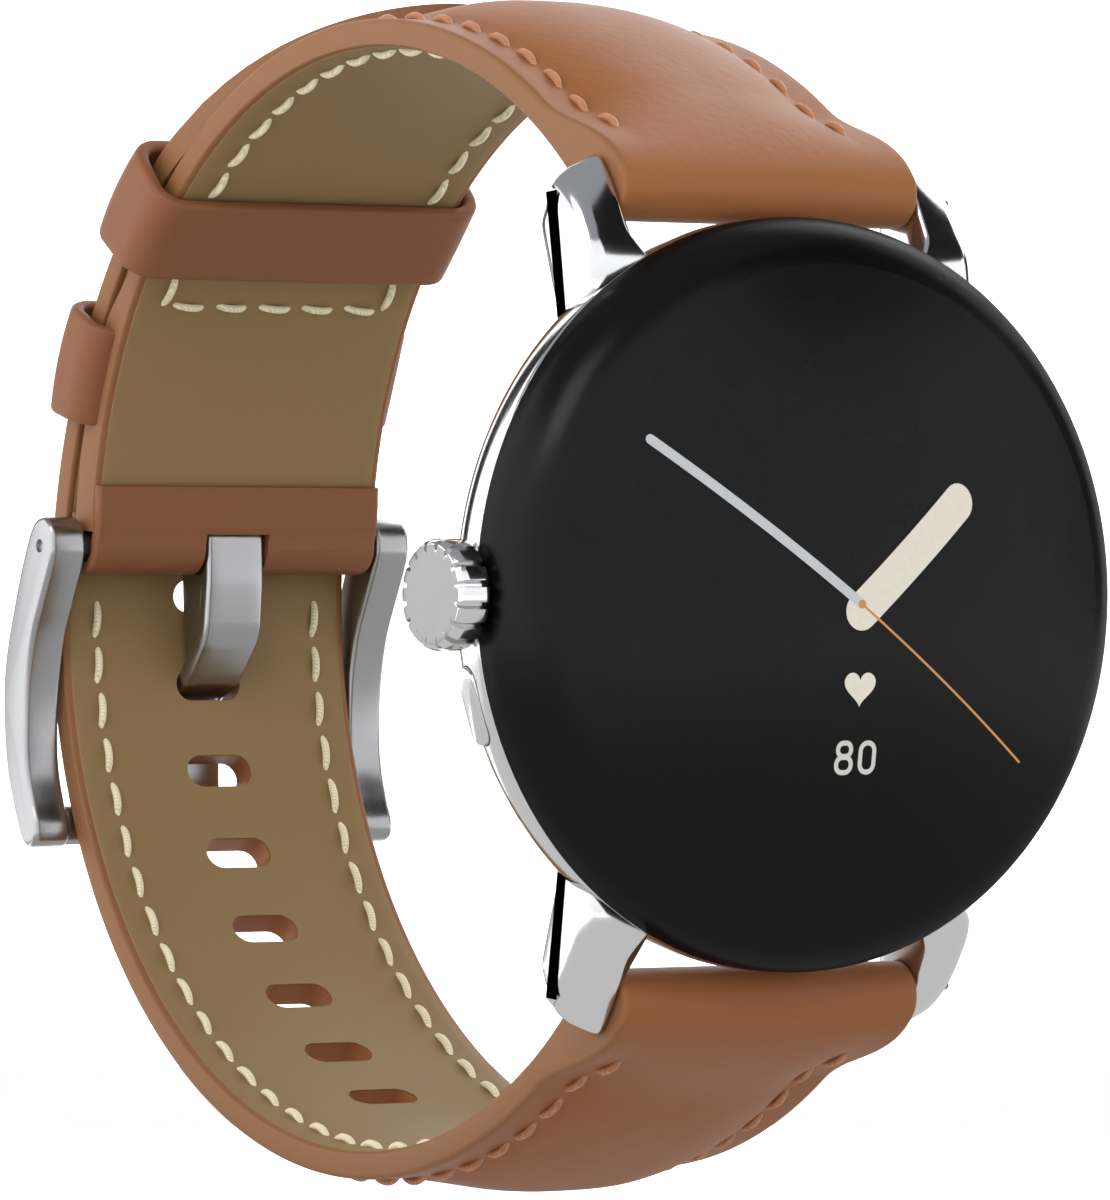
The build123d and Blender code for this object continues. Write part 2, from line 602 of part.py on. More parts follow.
def tail_layer(section, start, end):
    """Layer of the tail, which lies over the 12 o'clock strap."""
    y, z = tail_centre()
    return strap_arc(Axis((0, y, z), (1, 0, 0)), y, z, section, start, end)


def tail_reach(start, end):
    """How far the tail's outside is from the top axis, at most, between two angles about that axis."""
    y, z = tail_centre()
    reach = TOP_OUT_R
    for step in range(int(2 * TAIL_END)):
        point_y, point_z = on_arc(y, z, TAIL_R + LINING_T + LEATHER_T, step / 2)
        angle = degrees(atan2(point_z - TOP_Z, point_y - TOP_Y))
        if start <= angle <= end:
            reach = max(reach, hypot(point_y - TOP_Y, point_z - TOP_Z))
    return reach


def tail_tip_cut():
    """Waste outside the rounded tip of the tail."""
    y, z = tail_centre()
    tip_y = y + (TAIL_R + 1) * cos(radians(TAIL_END))
    waste = block(-STRAP_W, STRAP_W, tip_y - 5, tip_y + TAIL_TIP_L, z + TAIL_R / 2, z + TAIL_R + 4)
    return waste - Pos(0, tip_y + TAIL_TIP_L, z) * extrude(Plane.XY * Ellipse(STRAP_W / 2, TAIL_TIP_L), 2 * TAIL_R)


def strap_holes():
    """Oblong holes along the 6 o'clock strap, at an even pitch from the used one."""
    step = degrees(HOLE_PITCH / BOTTOM_R)
    slot = extrude(Plane.XY * SlotOverall(HOLE_L, HOLE_W), 3, both=True)
    holes = []
    for i in range(-1, HOLES - 1):
        angle = USED_HOLE - i * step
        y, z = on_arc(BOTTOM_Y, BOTTOM_Z, BOTTOM_R, angle)
        holes.append(Pos(0, y, z) * Rot(angle - 90, 0, 0) * slot)
    return holes


def make_strap_6_lining():
    """Inner leather of the holed strap and its tail."""
    r0, r1 = BOTTOM_R, BOTTOM_R + LINING_T
    lining = bottom_layer(flat_section(r0, r1), BOTTOM_LUG_ANGLE + 5, TAIL_START)
    lining += tail_layer(flat_section(TAIL_R, TAIL_R + LINING_T), TAIL_START, TAIL_END)
    return lining - tail_tip_cut() - strap_holes()


def make_strap_6_outer():
    """Outer leather of the holed strap, turned round the lower spring bar."""
    r0 = BOTTOM_R + LINING_T
    leather = bottom_layer(flat_section(r0, r0 + LEATHER_T), BOTTOM_PAD_END, TAIL_START)
    leather += tail_layer(flat_section(TAIL_R + LINING_T, TAIL_R + LINING_T + LEATHER_T),
                          TAIL_START, TAIL_END)
    leather += bottom_layer(padded_section(r0, LEATHER_T, LEATHER_T + PAD_T, STRAP_W, PAD_HALF),
                            BOTTOM_LUG_ANGLE + 1, BOTTOM_PAD_END)
    leather += roll(-BAR_Z)
    leather -= bottom_layer(flat_section(r0 - 3, r0), BOTTOM_LUG_ANGLE + 4.8, BOTTOM_LUG_ANGLE + 12)
    leather -= bottom_layer(padded_section(r0, 0.1, PAD_T, 2 * PAD_HALF - 1.2, PAD_HALF - 0.8),
                            BOTTOM_LUG_ANGLE + 5.5, BOTTOM_PAD_END - 3)
    leather -= bar_bore(-BAR_Z)
    return leather - tail_tip_cut() - strap_holes()


def make_strap_6_filler():
    """Padding inside the holed strap."""
    r0 = BOTTOM_R + LINING_T
    return bottom_layer(padded_section(r0 + 0.02, 0.02, PAD_T - 0.05, 2 * PAD_HALF - 1.4, PAD_HALF - 0.9),
                        BOTTOM_LUG_ANGLE + 5.8, BOTTOM_PAD_END - 3.3)


def stitch_row(layer, radius, start, end):
    """Two rows of short raised stitches along a strap, from one angle to the other."""
    step = degrees(STITCH_PITCH / radius)
    length = degrees(STITCH_L / radius)
    stitches = []
    for i in range(int((end - start) / step)):
        for side in (-1, 1):
            section = Pos(side * STITCH_X, radius) * Rectangle(2 * THREAD_R, 2 * THREAD_R)
            stitches.append(layer(section, start + i * step, start + i * step + length))
    return stitches


def make_fixed_keeper():
    """Loop round the tail whose ends are glued between the layers of the buckle strap."""
    end = FIXED_KEEPER_START + FIXED_KEEPER_ARC
    r_in = LEATHER_R + 0.02
    r_out = tail_reach(FIXED_KEEPER_START - 1, end) + KEEPER_CLEAR
    wide = KEEPER_W - 0.2
    thick = KEEPER_T - 0.1
    outer = Pos(0, (r_in + r_out + thick) / 2) * RectangleRounded(wide + 2 * thick, r_out + thick - r_in, 1.2)
    strip = flat_section(r_in, r_in + FIXED_KEEPER_T - 0.02, STRAP_W + 1)
    clear = Pos(0, (r_in + FIXED_KEEPER_T + r_out) / 2) * Rectangle(wide, r_out - r_in - FIXED_KEEPER_T)
    return top_layer(outer - clear + strip, FIXED_KEEPER_START, end)


def make_free_keeper():
    """Loose loop round both straps."""
    r_in = TOP_R - GAP
    start = KEEPER_MID - KEEPER_ARC / 2
    r_out = tail_reach(start - KEEPER_TRAVEL, start + KEEPER_ARC) + KEEPER_CLEAR
    middle = (r_in + r_out) / 2
    outer = RectangleRounded(KEEPER_W + 2 * KEEPER_T, r_out - r_in + 2 * KEEPER_T, 2.2)
    clear = RectangleRounded(KEEPER_W, r_out - r_in, 0.6)
    return top_layer(Pos(0, middle) * (outer - clear), start, start + KEEPER_ARC)


def make_strap_12_lining():
    """Inner leather of the buckle strap."""
    return top_layer(flat_section(TOP_R, LEATHER_R), LINING_START, TOP_LUG_ANGLE - 4)


# ---------------------------------------------------------------- buckle

CROSS_ANGLE = -22.755    # angle of the cross bar about the axis of the 6 o'clock half
CROSS_CLEAR = 1.26       # from the leather to the middle of the cross bar
CROSS_Y, CROSS_Z = on_arc(BOTTOM_Y, BOTTOM_Z, BOTTOM_R + LINING_T + LEATHER_T + CROSS_CLEAR, CROSS_ANGLE)


def arm_outline():
    """Side view of one buckle arm in (y, z), bowed outwards from pivot to cross bar."""
    y, z = BUCKLE_Y, BUCKLE_Z
    outer = Spline((y + 1.0, z + 0.75), (y + 3.4, z - 4.2), (y + 4.3, z - 9.7), (y + 3.0, z - 15.6),
                   (CROSS_Y - 0.5, CROSS_Z - 1.15))
    foot = Line((CROSS_Y - 0.5, CROSS_Z - 1.15), (CROSS_Y - 1.5, CROSS_Z + 0.4))
    inner = Spline((CROSS_Y - 1.5, CROSS_Z + 0.4), (y + 1.9, z - 11.6), (y + 1.75, z - 8.2),
                   (y + 0.35, z - 3.6), (y - 1.0, z - 0.75))
    head = ThreePointArc((y - 1.0, z - 0.75), (y - 0.75, z + 1.0), (y + 1.0, z + 0.75))
    return make_face(outer + foot + inner + head)


def make_buckle_frame():
    """Bow of the buckle: two arms and the cross bar that the tongue rests on."""
    arm = side_plate(arm_outline(), ARM_IN_X, ARM_IN_X + ARM_T)
    arm -= rod_x(BUCKLE_BAR_R, ARM_IN_X - 1, ARM_IN_X + ARM_T - 0.5, BUCKLE_Y, BUCKLE_Z)
    arm -= rod_x(0.35, ARM_IN_X + ARM_T - 0.2, ARM_IN_X + ARM_T + 1, BUCKLE_Y, BUCKLE_Z)
    bar = RectangleRounded(1.9, 2.3, 0.6)
    cross = side_plate(Pos(CROSS_Y, CROSS_Z) * bar, -ARM_IN_X - 1, ARM_IN_X + 1)
    cross &= block(-ARM_IN_X - 0.1, ARM_IN_X + 0.1, 0, 100, -100, 100)
    return arm + mirror(arm, Plane.YZ) + cross


def make_buckle_bar():
    """Pin through the strap's fold, riveted in both arms."""
    reach = ARM_IN_X + ARM_T - 0.5
    return rod_x(BUCKLE_BAR_R, -reach, reach, BUCKLE_Y, BUCKLE_Z)


def make_buckle_tongue():
    """Bent steel tongue hooked round the bar, through the used hole and over the cross bar."""
    hole_y, hole_z = on_arc(BOTTOM_Y, BOTTOM_Z, BOTTOM_R, USED_HOLE)
    out_y = CROSS_Y + 0.95 + TONGUE_T / 2 + 0.05
    side_y = BUCKLE_Y - BUCKLE_BAR_R - 0.3
    route = FilletPolyline((side_y, BUCKLE_Z + 0.9), (side_y + 0.3, BUCKLE_Z - 5.0),
                           (hole_y - 0.9, hole_z + 0.05), (out_y, hole_z - 0.45),
                           (out_y, CROSS_Z - 0.9), radius=0.6)
    strip = trace(route, TONGUE_T)
    tongue = side_plate(strip, -TONGUE_W / 2, TONGUE_W / 2)
    eye = rod_x(BUCKLE_BAR_R + FIT + 0.75, -TONGUE_W / 2, TONGUE_W / 2, BUCKLE_Y, BUCKLE_Z)
    return tongue + eye - rod_x(BUCKLE_BAR_R + FIT, -STRAP_W, STRAP_W, BUCKLE_Y, BUCKLE_Z)


def strap_parts():
    """Both straps with their linings, padding, thread and keepers."""
    outer_12 = make_strap_12_outer()
    lining_12 = make_strap_12_lining()
    outer_6 = make_strap_6_outer()
    lining_6 = make_strap_6_lining()
    thread_12 = stitch_row(top_layer, TOP_R + THREAD_R - 0.1, STITCH_START, TOP_LUG_ANGLE - 6)
    thread_6 = stitch_row(bottom_layer, BOTTOM_R + THREAD_R - 0.1, BOTTOM_LUG_ANGLE + 8, 0)
    return {
        "strap_12_outer": outer_12,
        "strap_12_lining": lining_12 - thread_12,
        "strap_12_filler": make_strap_12_filler(),
        "strap_12_stiffener": make_strap_12_stiffener(),
        "strap_12_stitching": Compound(children=thread_12),
        "strap_6_outer": outer_6,
        "strap_6_lining": lining_6 - thread_6,
        "strap_6_filler": make_strap_6_filler(),
        "strap_6_stitching": Compound(children=thread_6),
        "fixed_keeper": make_fixed_keeper(),
        "free_keeper": make_free_keeper(),
    }


def all_parts():
    """Every piece of the watch, by name."""
    parts = {
        "mid_case": make_mid_case(),
        "cover_glass": make_cover_glass(),
        "glass_seal": make_glass_seal(),
        "display_panel": make_display_panel(),
        "back_cover": make_back_cover(),
        "back_screws": make_back_screws(),
        "buckle_frame": make_buckle_frame(),
        "buckle_bar": make_buckle_bar(),
        "buckle_tongue": make_buckle_tongue(),
    }
    parts.update(inner_parts())
    parts.update(crown_and_button_parts())
    parts.update(spring_bar_parts("spring_bar_12", 1))
    parts.update(spring_bar_parts("spring_bar_6", -1))
    parts.update(strap_parts())
    return parts


os.makedirs("parts", exist_ok=True)
for name, shape in all_parts().items():
    export_step(shape, f"parts/{name}.step")
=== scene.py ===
from math import cos, degrees, hypot, pi, radians, sin, sqrt
import random

import bmesh
import bpy
from mathutils import Matrix, Vector


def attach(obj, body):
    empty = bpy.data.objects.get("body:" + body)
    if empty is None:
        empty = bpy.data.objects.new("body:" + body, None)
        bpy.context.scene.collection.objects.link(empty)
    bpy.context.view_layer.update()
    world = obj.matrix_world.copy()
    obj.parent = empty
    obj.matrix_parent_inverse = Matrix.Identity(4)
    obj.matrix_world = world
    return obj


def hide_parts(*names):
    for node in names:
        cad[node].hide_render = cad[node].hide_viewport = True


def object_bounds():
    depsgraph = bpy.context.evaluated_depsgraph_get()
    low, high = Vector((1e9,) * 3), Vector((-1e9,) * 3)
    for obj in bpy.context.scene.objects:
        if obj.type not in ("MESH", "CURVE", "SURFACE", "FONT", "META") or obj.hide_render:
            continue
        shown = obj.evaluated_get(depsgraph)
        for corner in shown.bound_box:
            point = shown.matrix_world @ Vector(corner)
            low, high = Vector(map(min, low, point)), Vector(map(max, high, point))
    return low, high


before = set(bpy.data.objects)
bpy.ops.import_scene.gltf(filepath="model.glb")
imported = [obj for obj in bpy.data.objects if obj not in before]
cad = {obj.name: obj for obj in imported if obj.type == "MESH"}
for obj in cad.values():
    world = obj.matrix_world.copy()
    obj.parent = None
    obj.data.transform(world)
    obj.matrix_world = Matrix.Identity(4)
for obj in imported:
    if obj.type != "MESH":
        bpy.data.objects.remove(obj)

CAD_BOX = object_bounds()
MM = 0.001

# ---------------------------------------------------------------- camera
# A long lens half a metre away, level with the middle of the face and about 35 degrees
# round towards the crown.
VIEW_TURN = radians(34.66)
VIEW_DISTANCE = 498.38
VIEW_SHIFT = 10.34
VIEW_CENTRE = Vector((0, -1.47, -0.28))
camera_data = bpy.data.cameras.new("camera")
camera_data.lens = 273.24
camera_data.sensor_width = camera_data.sensor_height = 36.0
camera_data.clip_start = 0.01
camera_data.clip_end = 20.0
camera = bpy.data.objects.new("camera", camera_data)
bpy.context.scene.collection.objects.link(camera)
view_along = Vector((sin(VIEW_TURN), cos(VIEW_TURN), 0))
view_right = Vector((cos(VIEW_TURN), -sin(VIEW_TURN), 0))
camera.location = (VIEW_CENTRE - view_right * VIEW_SHIFT - view_along * VIEW_DISTANCE) * MM
camera.rotation_euler = view_along.to_track_quat("-Z", "Y").to_euler()
bpy.context.scene.camera = camera

# ---------------------------------------------------------------- studio
# A pale floor whose rim sweeps up into a pale wall all the way round, with soft
# boxes, and dark and grey cards for the polished surfaces to mirror.


def add_object(name, points, faces, mats=(), slots=None, smooth=True):
    """Mesh object from points in millimetres."""
    mesh = bpy.data.meshes.new(name)
    mesh.from_pydata([tuple(c * MM for c in p) for p in points], [], faces)
    for mat in mats:
        mesh.materials.append(mat)
    for i, polygon in enumerate(mesh.polygons):
        polygon.use_smooth = smooth
        polygon.material_index = slots[i] if slots else 0
    obj = bpy.data.objects.new(name, mesh)
    bpy.context.scene.collection.objects.link(obj)
    return obj


def feed(made, **values):
    """Sets a node's sockets by name."""
    for key, value in values.items():
        made.inputs[key.replace("_", " ")].default_value = value


def node(tree, kind, **values):
    """New shader node, with sockets set by name and properties by attribute."""
    made = tree.nodes.new(kind)
    for key, value in values.items():
        if hasattr(made, key):
            setattr(made, key, value)
        else:
            feed(made, **{key: value})
    return made


def new_material(name):
    """Material with its node tree and its shader."""
    mat = bpy.data.materials.new(name)
    mat.use_nodes = True
    return mat, mat.node_tree, mat.node_tree.nodes["Principled BSDF"]


def fan(count):
    """Triangles from point 0 to a closed ring that starts at point 1."""
    return [(0, 1 + i, 1 + (i + 1) % count) for i in range(count)]


def bands(start, layers, count):
    """Quads that join closed rings of points, each of one count, from a first point on."""
    faces = []
    for k in range(layers - 1):
        for i in range(count):
            a, b = start + k * count + i, start + k * count + (i + 1) % count
            faces.append((a, b, b + count, a + count))
    return faces


def srgb(r, g, b):
    """Linear colour from display values of 0 to 255."""
    def linear(c):
        return c / 255 / 12.92 if c < 11 else ((c / 255 + 0.055) / 1.055) ** 2.4
    return linear(r), linear(g), linear(b), 1.0


def make_studio_floor():
    """Floor and wall in one sheet, brighter on the side that the light comes from."""
    floor_z = CAD_BOX[0][2] / MM - 0.05
    middle_y, flat, sweep, turns = 20, 800, 500, 96
    profile = [(r, 0.0) for r in (150, 400, flat)]
    profile += [(flat + sweep * sin(a), sweep - sweep * cos(a)) for a in [pi / 24 * i for i in range(1, 13)]]
    profile += [(flat + sweep, 1300)]
    points = [(0, middle_y, floor_z)]
    for r, z in profile:
        points += [(r * cos(2 * pi * i / turns), middle_y + r * sin(2 * pi * i / turns), floor_z + z)
                   for i in range(turns)]
    faces = fan(turns) + bands(1, len(profile), turns)
    mat, tree, shader = new_material("studio_white")
    feed(shader, Base_Color=(0.8, 0.8, 0.8, 1), Roughness=0.9, Emission_Color=(1, 1, 1, 1))
    where = node(tree, "ShaderNodeNewGeometry")
    split = node(tree, "ShaderNodeSeparateXYZ")
    tree.links.new(where.outputs["Position"], split.inputs[0])
    ramp = node(tree, "ShaderNodeMapRange", interpolation_type="SMOOTHSTEP")
    feed(ramp, From_Min=-0.9, From_Max=-0.1, To_Min=0.3, To_Max=1.0)
    tree.links.new(split.outputs["Y"], ramp.inputs["Value"])
    tree.links.new(ramp.outputs["Result"], shader.inputs["Emission Strength"])
    return add_object("studio_floor", points, faces, [mat])


def card(name, centre, toward, width, height, strength=None, grey=0.0):
    """Soft box, or a card of one grey where no strength is given, facing a point; millimetres."""
    place = Vector(centre) * MM
    turn = (Vector(toward) * MM - place).to_track_quat("-Z", "Y").to_euler()
    if strength is None:
        obj = add_object(name, [(-width / 2, -height / 2, 0), (width / 2, -height / 2, 0),
                                (width / 2, height / 2, 0), (-width / 2, height / 2, 0)], [(0, 1, 2, 3)])
        mat, _, shader = new_material(name)
        feed(shader, Base_Color=(0.003, 0.003, 0.003, 1), Specular_IOR_Level=0.0)
        feed(shader, Emission_Color=(1, 1, 1, 1), Emission_Strength=grey)
        obj.data.materials.append(mat)
        obj.visible_camera = obj.visible_diffuse = obj.visible_shadow = False
    else:
        light = bpy.data.lights.new(name, "AREA")
        light.shape = "RECTANGLE"
        light.size, light.size_y = width * MM, height * MM
        light.energy = strength
        obj = bpy.data.objects.new(name, light)
        obj.visible_camera = False
        bpy.context.scene.collection.objects.link(obj)
    obj.location, obj.rotation_euler = place, turn
    return obj


make_studio_floor()
world = bpy.data.worlds.new("studio_world")
world.use_nodes = True
feed(world.node_tree.nodes["Background"], Color=(0.9, 0.93, 1, 1), Strength=0.4)
bpy.context.scene.world = world
bpy.context.scene.view_settings.view_transform = "Standard"
card("key_light", (-420, -260, 520), (0, 10, 0), 300, 300, 1.2)
card("rim_light", (500, 250, 500), (0, 20, 0), 300, 400, 1.0)
card("high_card", (455, -345, 470), (0, 0, 0), 560, 420)
card("back_card", (-150, 800, 450), (0, 0, 450), 300, 900)
card("back_low_card", (-170, 740, -17), (0, 0, -17), 500, 33, grey=0.8)
card("low_card", (20, -60, -34.12), (20, -60, 100), 300, 260, grey=0.7).visible_diffuse = True
card("right_card", (700, -120, 40), (0, 0, 0), 300, 500)

# ---------------------------------------------------------------- mid case
# Polished steel ring with four lugs, forged in one piece and turned; the glass sits
# in its front edge and the back cover in its rear.


def ranged(tree, source, low, high):
    """Output that runs from low to high as the source runs from 0 to 1."""
    ramp = node(tree, "ShaderNodeMapRange", To_Min=low, To_Max=high)
    tree.links.new(source, ramp.inputs["Value"])
    return ramp.outputs["Result"]


def textured(name, colour, rough, metal=0.0, vary=0.06, scale=900.0, bump=0.0):
    """Material whose colour, roughness and surface are broken up by fine noise."""
    mat, tree, shader = new_material(name)
    feed(shader, Metallic=metal)
    where = node(tree, "ShaderNodeTexCoord")
    noise = node(tree, "ShaderNodeTexNoise", Scale=scale, Detail=5.0)
    tree.links.new(where.outputs["Object"], noise.inputs["Vector"])
    dark = tuple(c * (1 - vary) for c in colour[:3]) + (1,)
    light = tuple(min(1, c * (1 + vary)) for c in colour[:3]) + (1,)
    mix = node(tree, "ShaderNodeMix", data_type="RGBA")
    mix.inputs[6].default_value, mix.inputs[7].default_value = dark, light
    tree.links.new(noise.outputs["Fac"], mix.inputs[0])
    tree.links.new(mix.outputs[2], shader.inputs["Base Color"])
    tree.links.new(ranged(tree, noise.outputs["Fac"], rough * 0.92, rough * 1.08), shader.inputs["Roughness"])
    if bump:
        raised = node(tree, "ShaderNodeBump", Strength=0.5, Distance=bump * MM)
        tree.links.new(noise.outputs["Fac"], raised.inputs["Height"])
        tree.links.new(raised.outputs["Normal"], shader.inputs["Normal"])
    return mat


def capped(layers, count):
    """Faces of a closed body made of rings of points, with a face over each end."""
    first, last = tuple(range(count)), tuple(layers * count - 1 - i for i in range(count))
    return [first, last] + bands(0, layers, count)


def slab(name, outline, x0, x1, mats, rounding=(0.3, 0.3), steps=4, lean=None):
    """Plate between two X values from an outline in (y, z), its edges rounded by the two radii."""
    count = len(outline)
    area = sum(outline[i][0] * outline[(i + 1) % count][1] - outline[(i + 1) % count][0] * outline[i][1]
               for i in range(count))
    normals = []
    for i in range(count):
        (ya, za), (yb, zb) = outline[i - 1], outline[(i + 1) % count]
        dy, dz = yb - ya, zb - za
        size = hypot(dy, dz) or 1.0
        sign = 1 if area > 0 else -1
        normals.append((sign * dz / size, -sign * dy / size))
    columns = []
    r0, r1 = rounding
    for i in range(steps + 1):
        a = pi / 2 * i / steps
        columns.append((x0 + r0 * (1 - cos(a)), r0 * (1 - sin(a))))
    for i in range(steps, -1, -1):
        a = pi / 2 * i / steps
        columns.append((x1 - r1 * (1 - cos(a)), r1 * (1 - sin(a))))
    points = []
    for x, inset in columns:
        for (y, z), (ny, nz) in zip(outline, normals):
            py, pz = y - ny * inset, z - nz * inset
            points.append((x, py, pz + (lean(x, py, pz) if lean else 0.0)))
    obj = add_object(name, points, capped(len(columns), count), mats)
    tidy(obj)
    return obj


def tidy(obj, angle=38):
    """Outward faces, smooth apart from edges sharper than the angle."""
    mesh = bmesh.new()
    mesh.from_mesh(obj.data)
    bmesh.ops.remove_doubles(mesh, verts=mesh.verts, dist=1e-7)
    bmesh.ops.recalc_face_normals(mesh, faces=mesh.faces)
    mesh.to_mesh(obj.data)
    mesh.free()
    obj.data.set_sharp_from_angle(angle=radians(angle))


def smooth_line(corners, closed=True, per=10):
    """Catmull-Rom curve through the corners."""
    count = len(corners)
    out = []
    for i in range(count if closed else count - 1):
        a, b, c, d = (corners[(i + k) % count] if closed else corners[min(max(i + k, 0), count - 1)]
                      for k in (-1, 0, 1, 2))
        for s in range(per):
            t = s / per
            out.append(tuple(0.5 * (2 * b[n] + (c[n] - a[n]) * t
                                    + (2 * a[n] - 5 * b[n] + 4 * c[n] - d[n]) * t ** 2
                                    + (3 * b[n] - a[n] - 3 * c[n] + d[n]) * t ** 3) for n in range(2)))
    return out if closed else out + [corners[-1]]


def revolved(name, profile, mats, turns=256, axis="Y", centre=(0, 0, 0)):
    """Closed profile of (radius, along) turned about an axis through a point."""
    points, faces, count = [], [], len(profile)
    for i in range(turns):
        c, s = cos(2 * pi * i / turns), sin(2 * pi * i / turns)
        for r, y in profile:
            p = (r * c, y, r * s) if axis == "Y" else (y, r * c, r * s)
            points.append(tuple(a + b for a, b in zip(p, centre)))
    for i in range(turns):
        for k in range(count):
            a, b = i * count + k, i * count + (k + 1) % count
            c, d = ((i + 1) % turns) * count + (k + 1) % count, ((i + 1) % turns) * count + k
            faces.append((a, b, c, d))
    obj = add_object(name, points, faces, mats)
    tidy(obj)
    return obj


def cut(obj, *cutters):
    """Takes the cutters' shapes out of an object and drops them."""
    for cutter in cutters:
        modifier = obj.modifiers.new("cut", "BOOLEAN")
        modifier.object = cutter
        modifier.operation = "DIFFERENCE"
        modifier.solver = "EXACT"
    bpy.context.view_layer.update()
    shaped = bpy.data.meshes.new_from_object(obj.evaluated_get(bpy.context.evaluated_depsgraph_get()))
    obj.modifiers.clear()
    obj.data = shaped
    for cutter in cutters:
        bpy.data.objects.remove(cutter)
    tidy(obj)


def join(name, parts):
    """One object from several, keeping their materials."""
    bpy.ops.object.select_all(action="DESELECT")
    for part in parts:
        part.select_set(True)
    bpy.context.view_layer.objects.active = parts[0]
    bpy.ops.object.join()
    parts[0].select_set(False)
    parts[0].name = name
    return parts[0]


chrome = textured("polished_steel", (0.7, 0.7, 0.705), 0.14, metal=1.0, vary=0.015, scale=200.0)
satin = textured("satin_steel", (0.4, 0.4, 0.405), 0.34, metal=1.0, vary=0.02, scale=300.0)
ring_profile = [(20.22, -5.6), (20.36, -5.58), (20.46, -5.48), (20.5, -5.3), (20.5, -5.05)]
ring_profile += [(15.5 + 5.0 * cos(a), -4.8 + 4.2 * sin(a)) for a in [pi / 48 * i for i in range(25)]]
ring_profile += [(15.12, -0.6), (15.08, -0.68), (15.08, -1.6), (18.3, -1.6), (18.3, -4.75), (20.22, -4.75)]
ring = revolved("case_ring", ring_profile, [chrome], turns=360)
CROWN_Y = -4.57
POCKET_R = 2.35
crown_pocket = revolved("crown_pocket", [(0.001, -26), (POCKET_R, -26), (POCKET_R, -19.35), (0.001, -19.35)],
                        [chrome], 64, "X", (0, CROWN_Y, 0))
BUTTON_TURN = radians(197)
BUTTON_L, BUTTON_W = 4.4, 1.5


def oblong(half, r, steps):
    """Outline with half-round ends, its length between their centres twice the half."""
    turns = [pi / steps * i - pi / 2 for i in range(steps + 1)]
    return [(side * (half + r * cos(a)), side * r * sin(a)) for side in (1, -1) for a in turns]


def button_plug(name, reach0, reach1, grow=0.0, rounding=0.0):
    """Oblong plug pointing out of the ring at the side button's place."""
    ends = oblong((BUTTON_L - BUTTON_W) / 2, BUTTON_W / 2 + grow, 12)
    layers = [(reach0, 0.0), (reach1 - rounding, 0.0), (reach1 - rounding * 0.3, rounding * 0.3),
              (reach1, rounding)] if rounding else [(reach0, 0.0), (reach1, 0.0)]
    out = (cos(BUTTON_TURN), sin(BUTTON_TURN))
    points = []
    for reach, inset in layers:
        for u, v in ends:
            size = hypot(u, v)
            u, v = u * (1 - inset / size), v * (1 - inset / size)
            points.append((out[0] * reach - out[1] * u, -3.95 + v, out[1] * reach + out[0] * u))
    obj = add_object(name, points, capped(len(layers), len(ends)), [chrome])
    tidy(obj)
    return obj


cut(ring, crown_pocket, button_plug("slot", 17.0, 23.0, 0.07))
lug_outline = smooth_line([(-3.0, 13.4), (-5.15, 15.6), (-5.35, 18.2), (-4.4, 20.4), (-3.3, 22.4),
                           (-2.3, 23.65), (-1.7, 23.75), (-1.25, 23.1), (-0.62, 21.4), (-0.3, 20.0),
                           (-0.9, 17.8), (-2.0, 14.8)], per=6)


def lug_lean(x, y, z):
    """Slope of the lug's tip towards the outside."""
    return -0.54 * max(0.0, x - 10.6) * min(1.0, max(0.0, (z - 19.0) / 4.7)) ** 1.5


lugs = []
for side in (1, -1):
    for top in (1, -1):
        lug = slab(f"lug_{side}_{top}", lug_outline, 10.0, 13.2, [chrome], (0.28, 1.25), 8, lug_lean)
        for vertex in lug.data.vertices:
            low = max(0.0, 19.9 - vertex.co.z / MM)
            if vertex.co.x < 11.0 * MM:
                vertex.co.x -= min(1.6, 0.42 * low ** 1.6) * MM
        lug.data.transform(Matrix.Diagonal((side, 1, top, 1)))
        tidy(lug, 50)
        lugs.append(lug)
case = join("case_polished", [ring] + lugs)
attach(case, "watch")
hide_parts("mid_case")

# ---------------------------------------------------------------- cover glass
# One domed piece of black-backed hardened glass, ground and polished, glued over the
# screen with a thin dark seal round it.


def black_glass(name, base, mirror, rise):
    """Black gloss whose mirror strength grows gently towards the rim."""
    mat, tree, unwanted = new_material(name)
    tree.nodes.remove(unwanted)
    out = tree.nodes["Material Output"]
    body = node(tree, "ShaderNodeBsdfDiffuse", Color=base)
    gloss = node(tree, "ShaderNodeBsdfGlossy", Color=(1, 1, 1, 1))
    noise = node(tree, "ShaderNodeTexNoise", Scale=140.0, Detail=3.0)
    where = node(tree, "ShaderNodeTexCoord")
    tree.links.new(where.outputs["Object"], noise.inputs["Vector"])
    tree.links.new(ranged(tree, noise.outputs["Fac"], 0.24, 0.3), gloss.inputs["Roughness"])
    facing = node(tree, "ShaderNodeLayerWeight", Blend=0.5)
    power = node(tree, "ShaderNodeMath", operation="POWER")
    power.inputs[1].default_value = 3.0
    amount = node(tree, "ShaderNodeMath", operation="MULTIPLY_ADD")
    amount.inputs[1].default_value, amount.inputs[2].default_value = rise, mirror
    tree.links.new(facing.outputs["Facing"], power.inputs[0])
    tree.links.new(power.outputs[0], amount.inputs[0])
    mix = node(tree, "ShaderNodeMixShader")
    tree.links.new(amount.outputs[0], mix.inputs[0])
    tree.links.new(body.outputs[0], mix.inputs[1])
    tree.links.new(gloss.outputs[0], mix.inputs[2])
    tree.links.new(mix.outputs[0], out.inputs["Surface"])
    return mat


glass = black_glass("domed_black_glass", srgb(9, 9, 9), 0.012, 0.055)
seal = textured("black_seal", srgb(16, 16, 17), 0.6, vary=0.2)


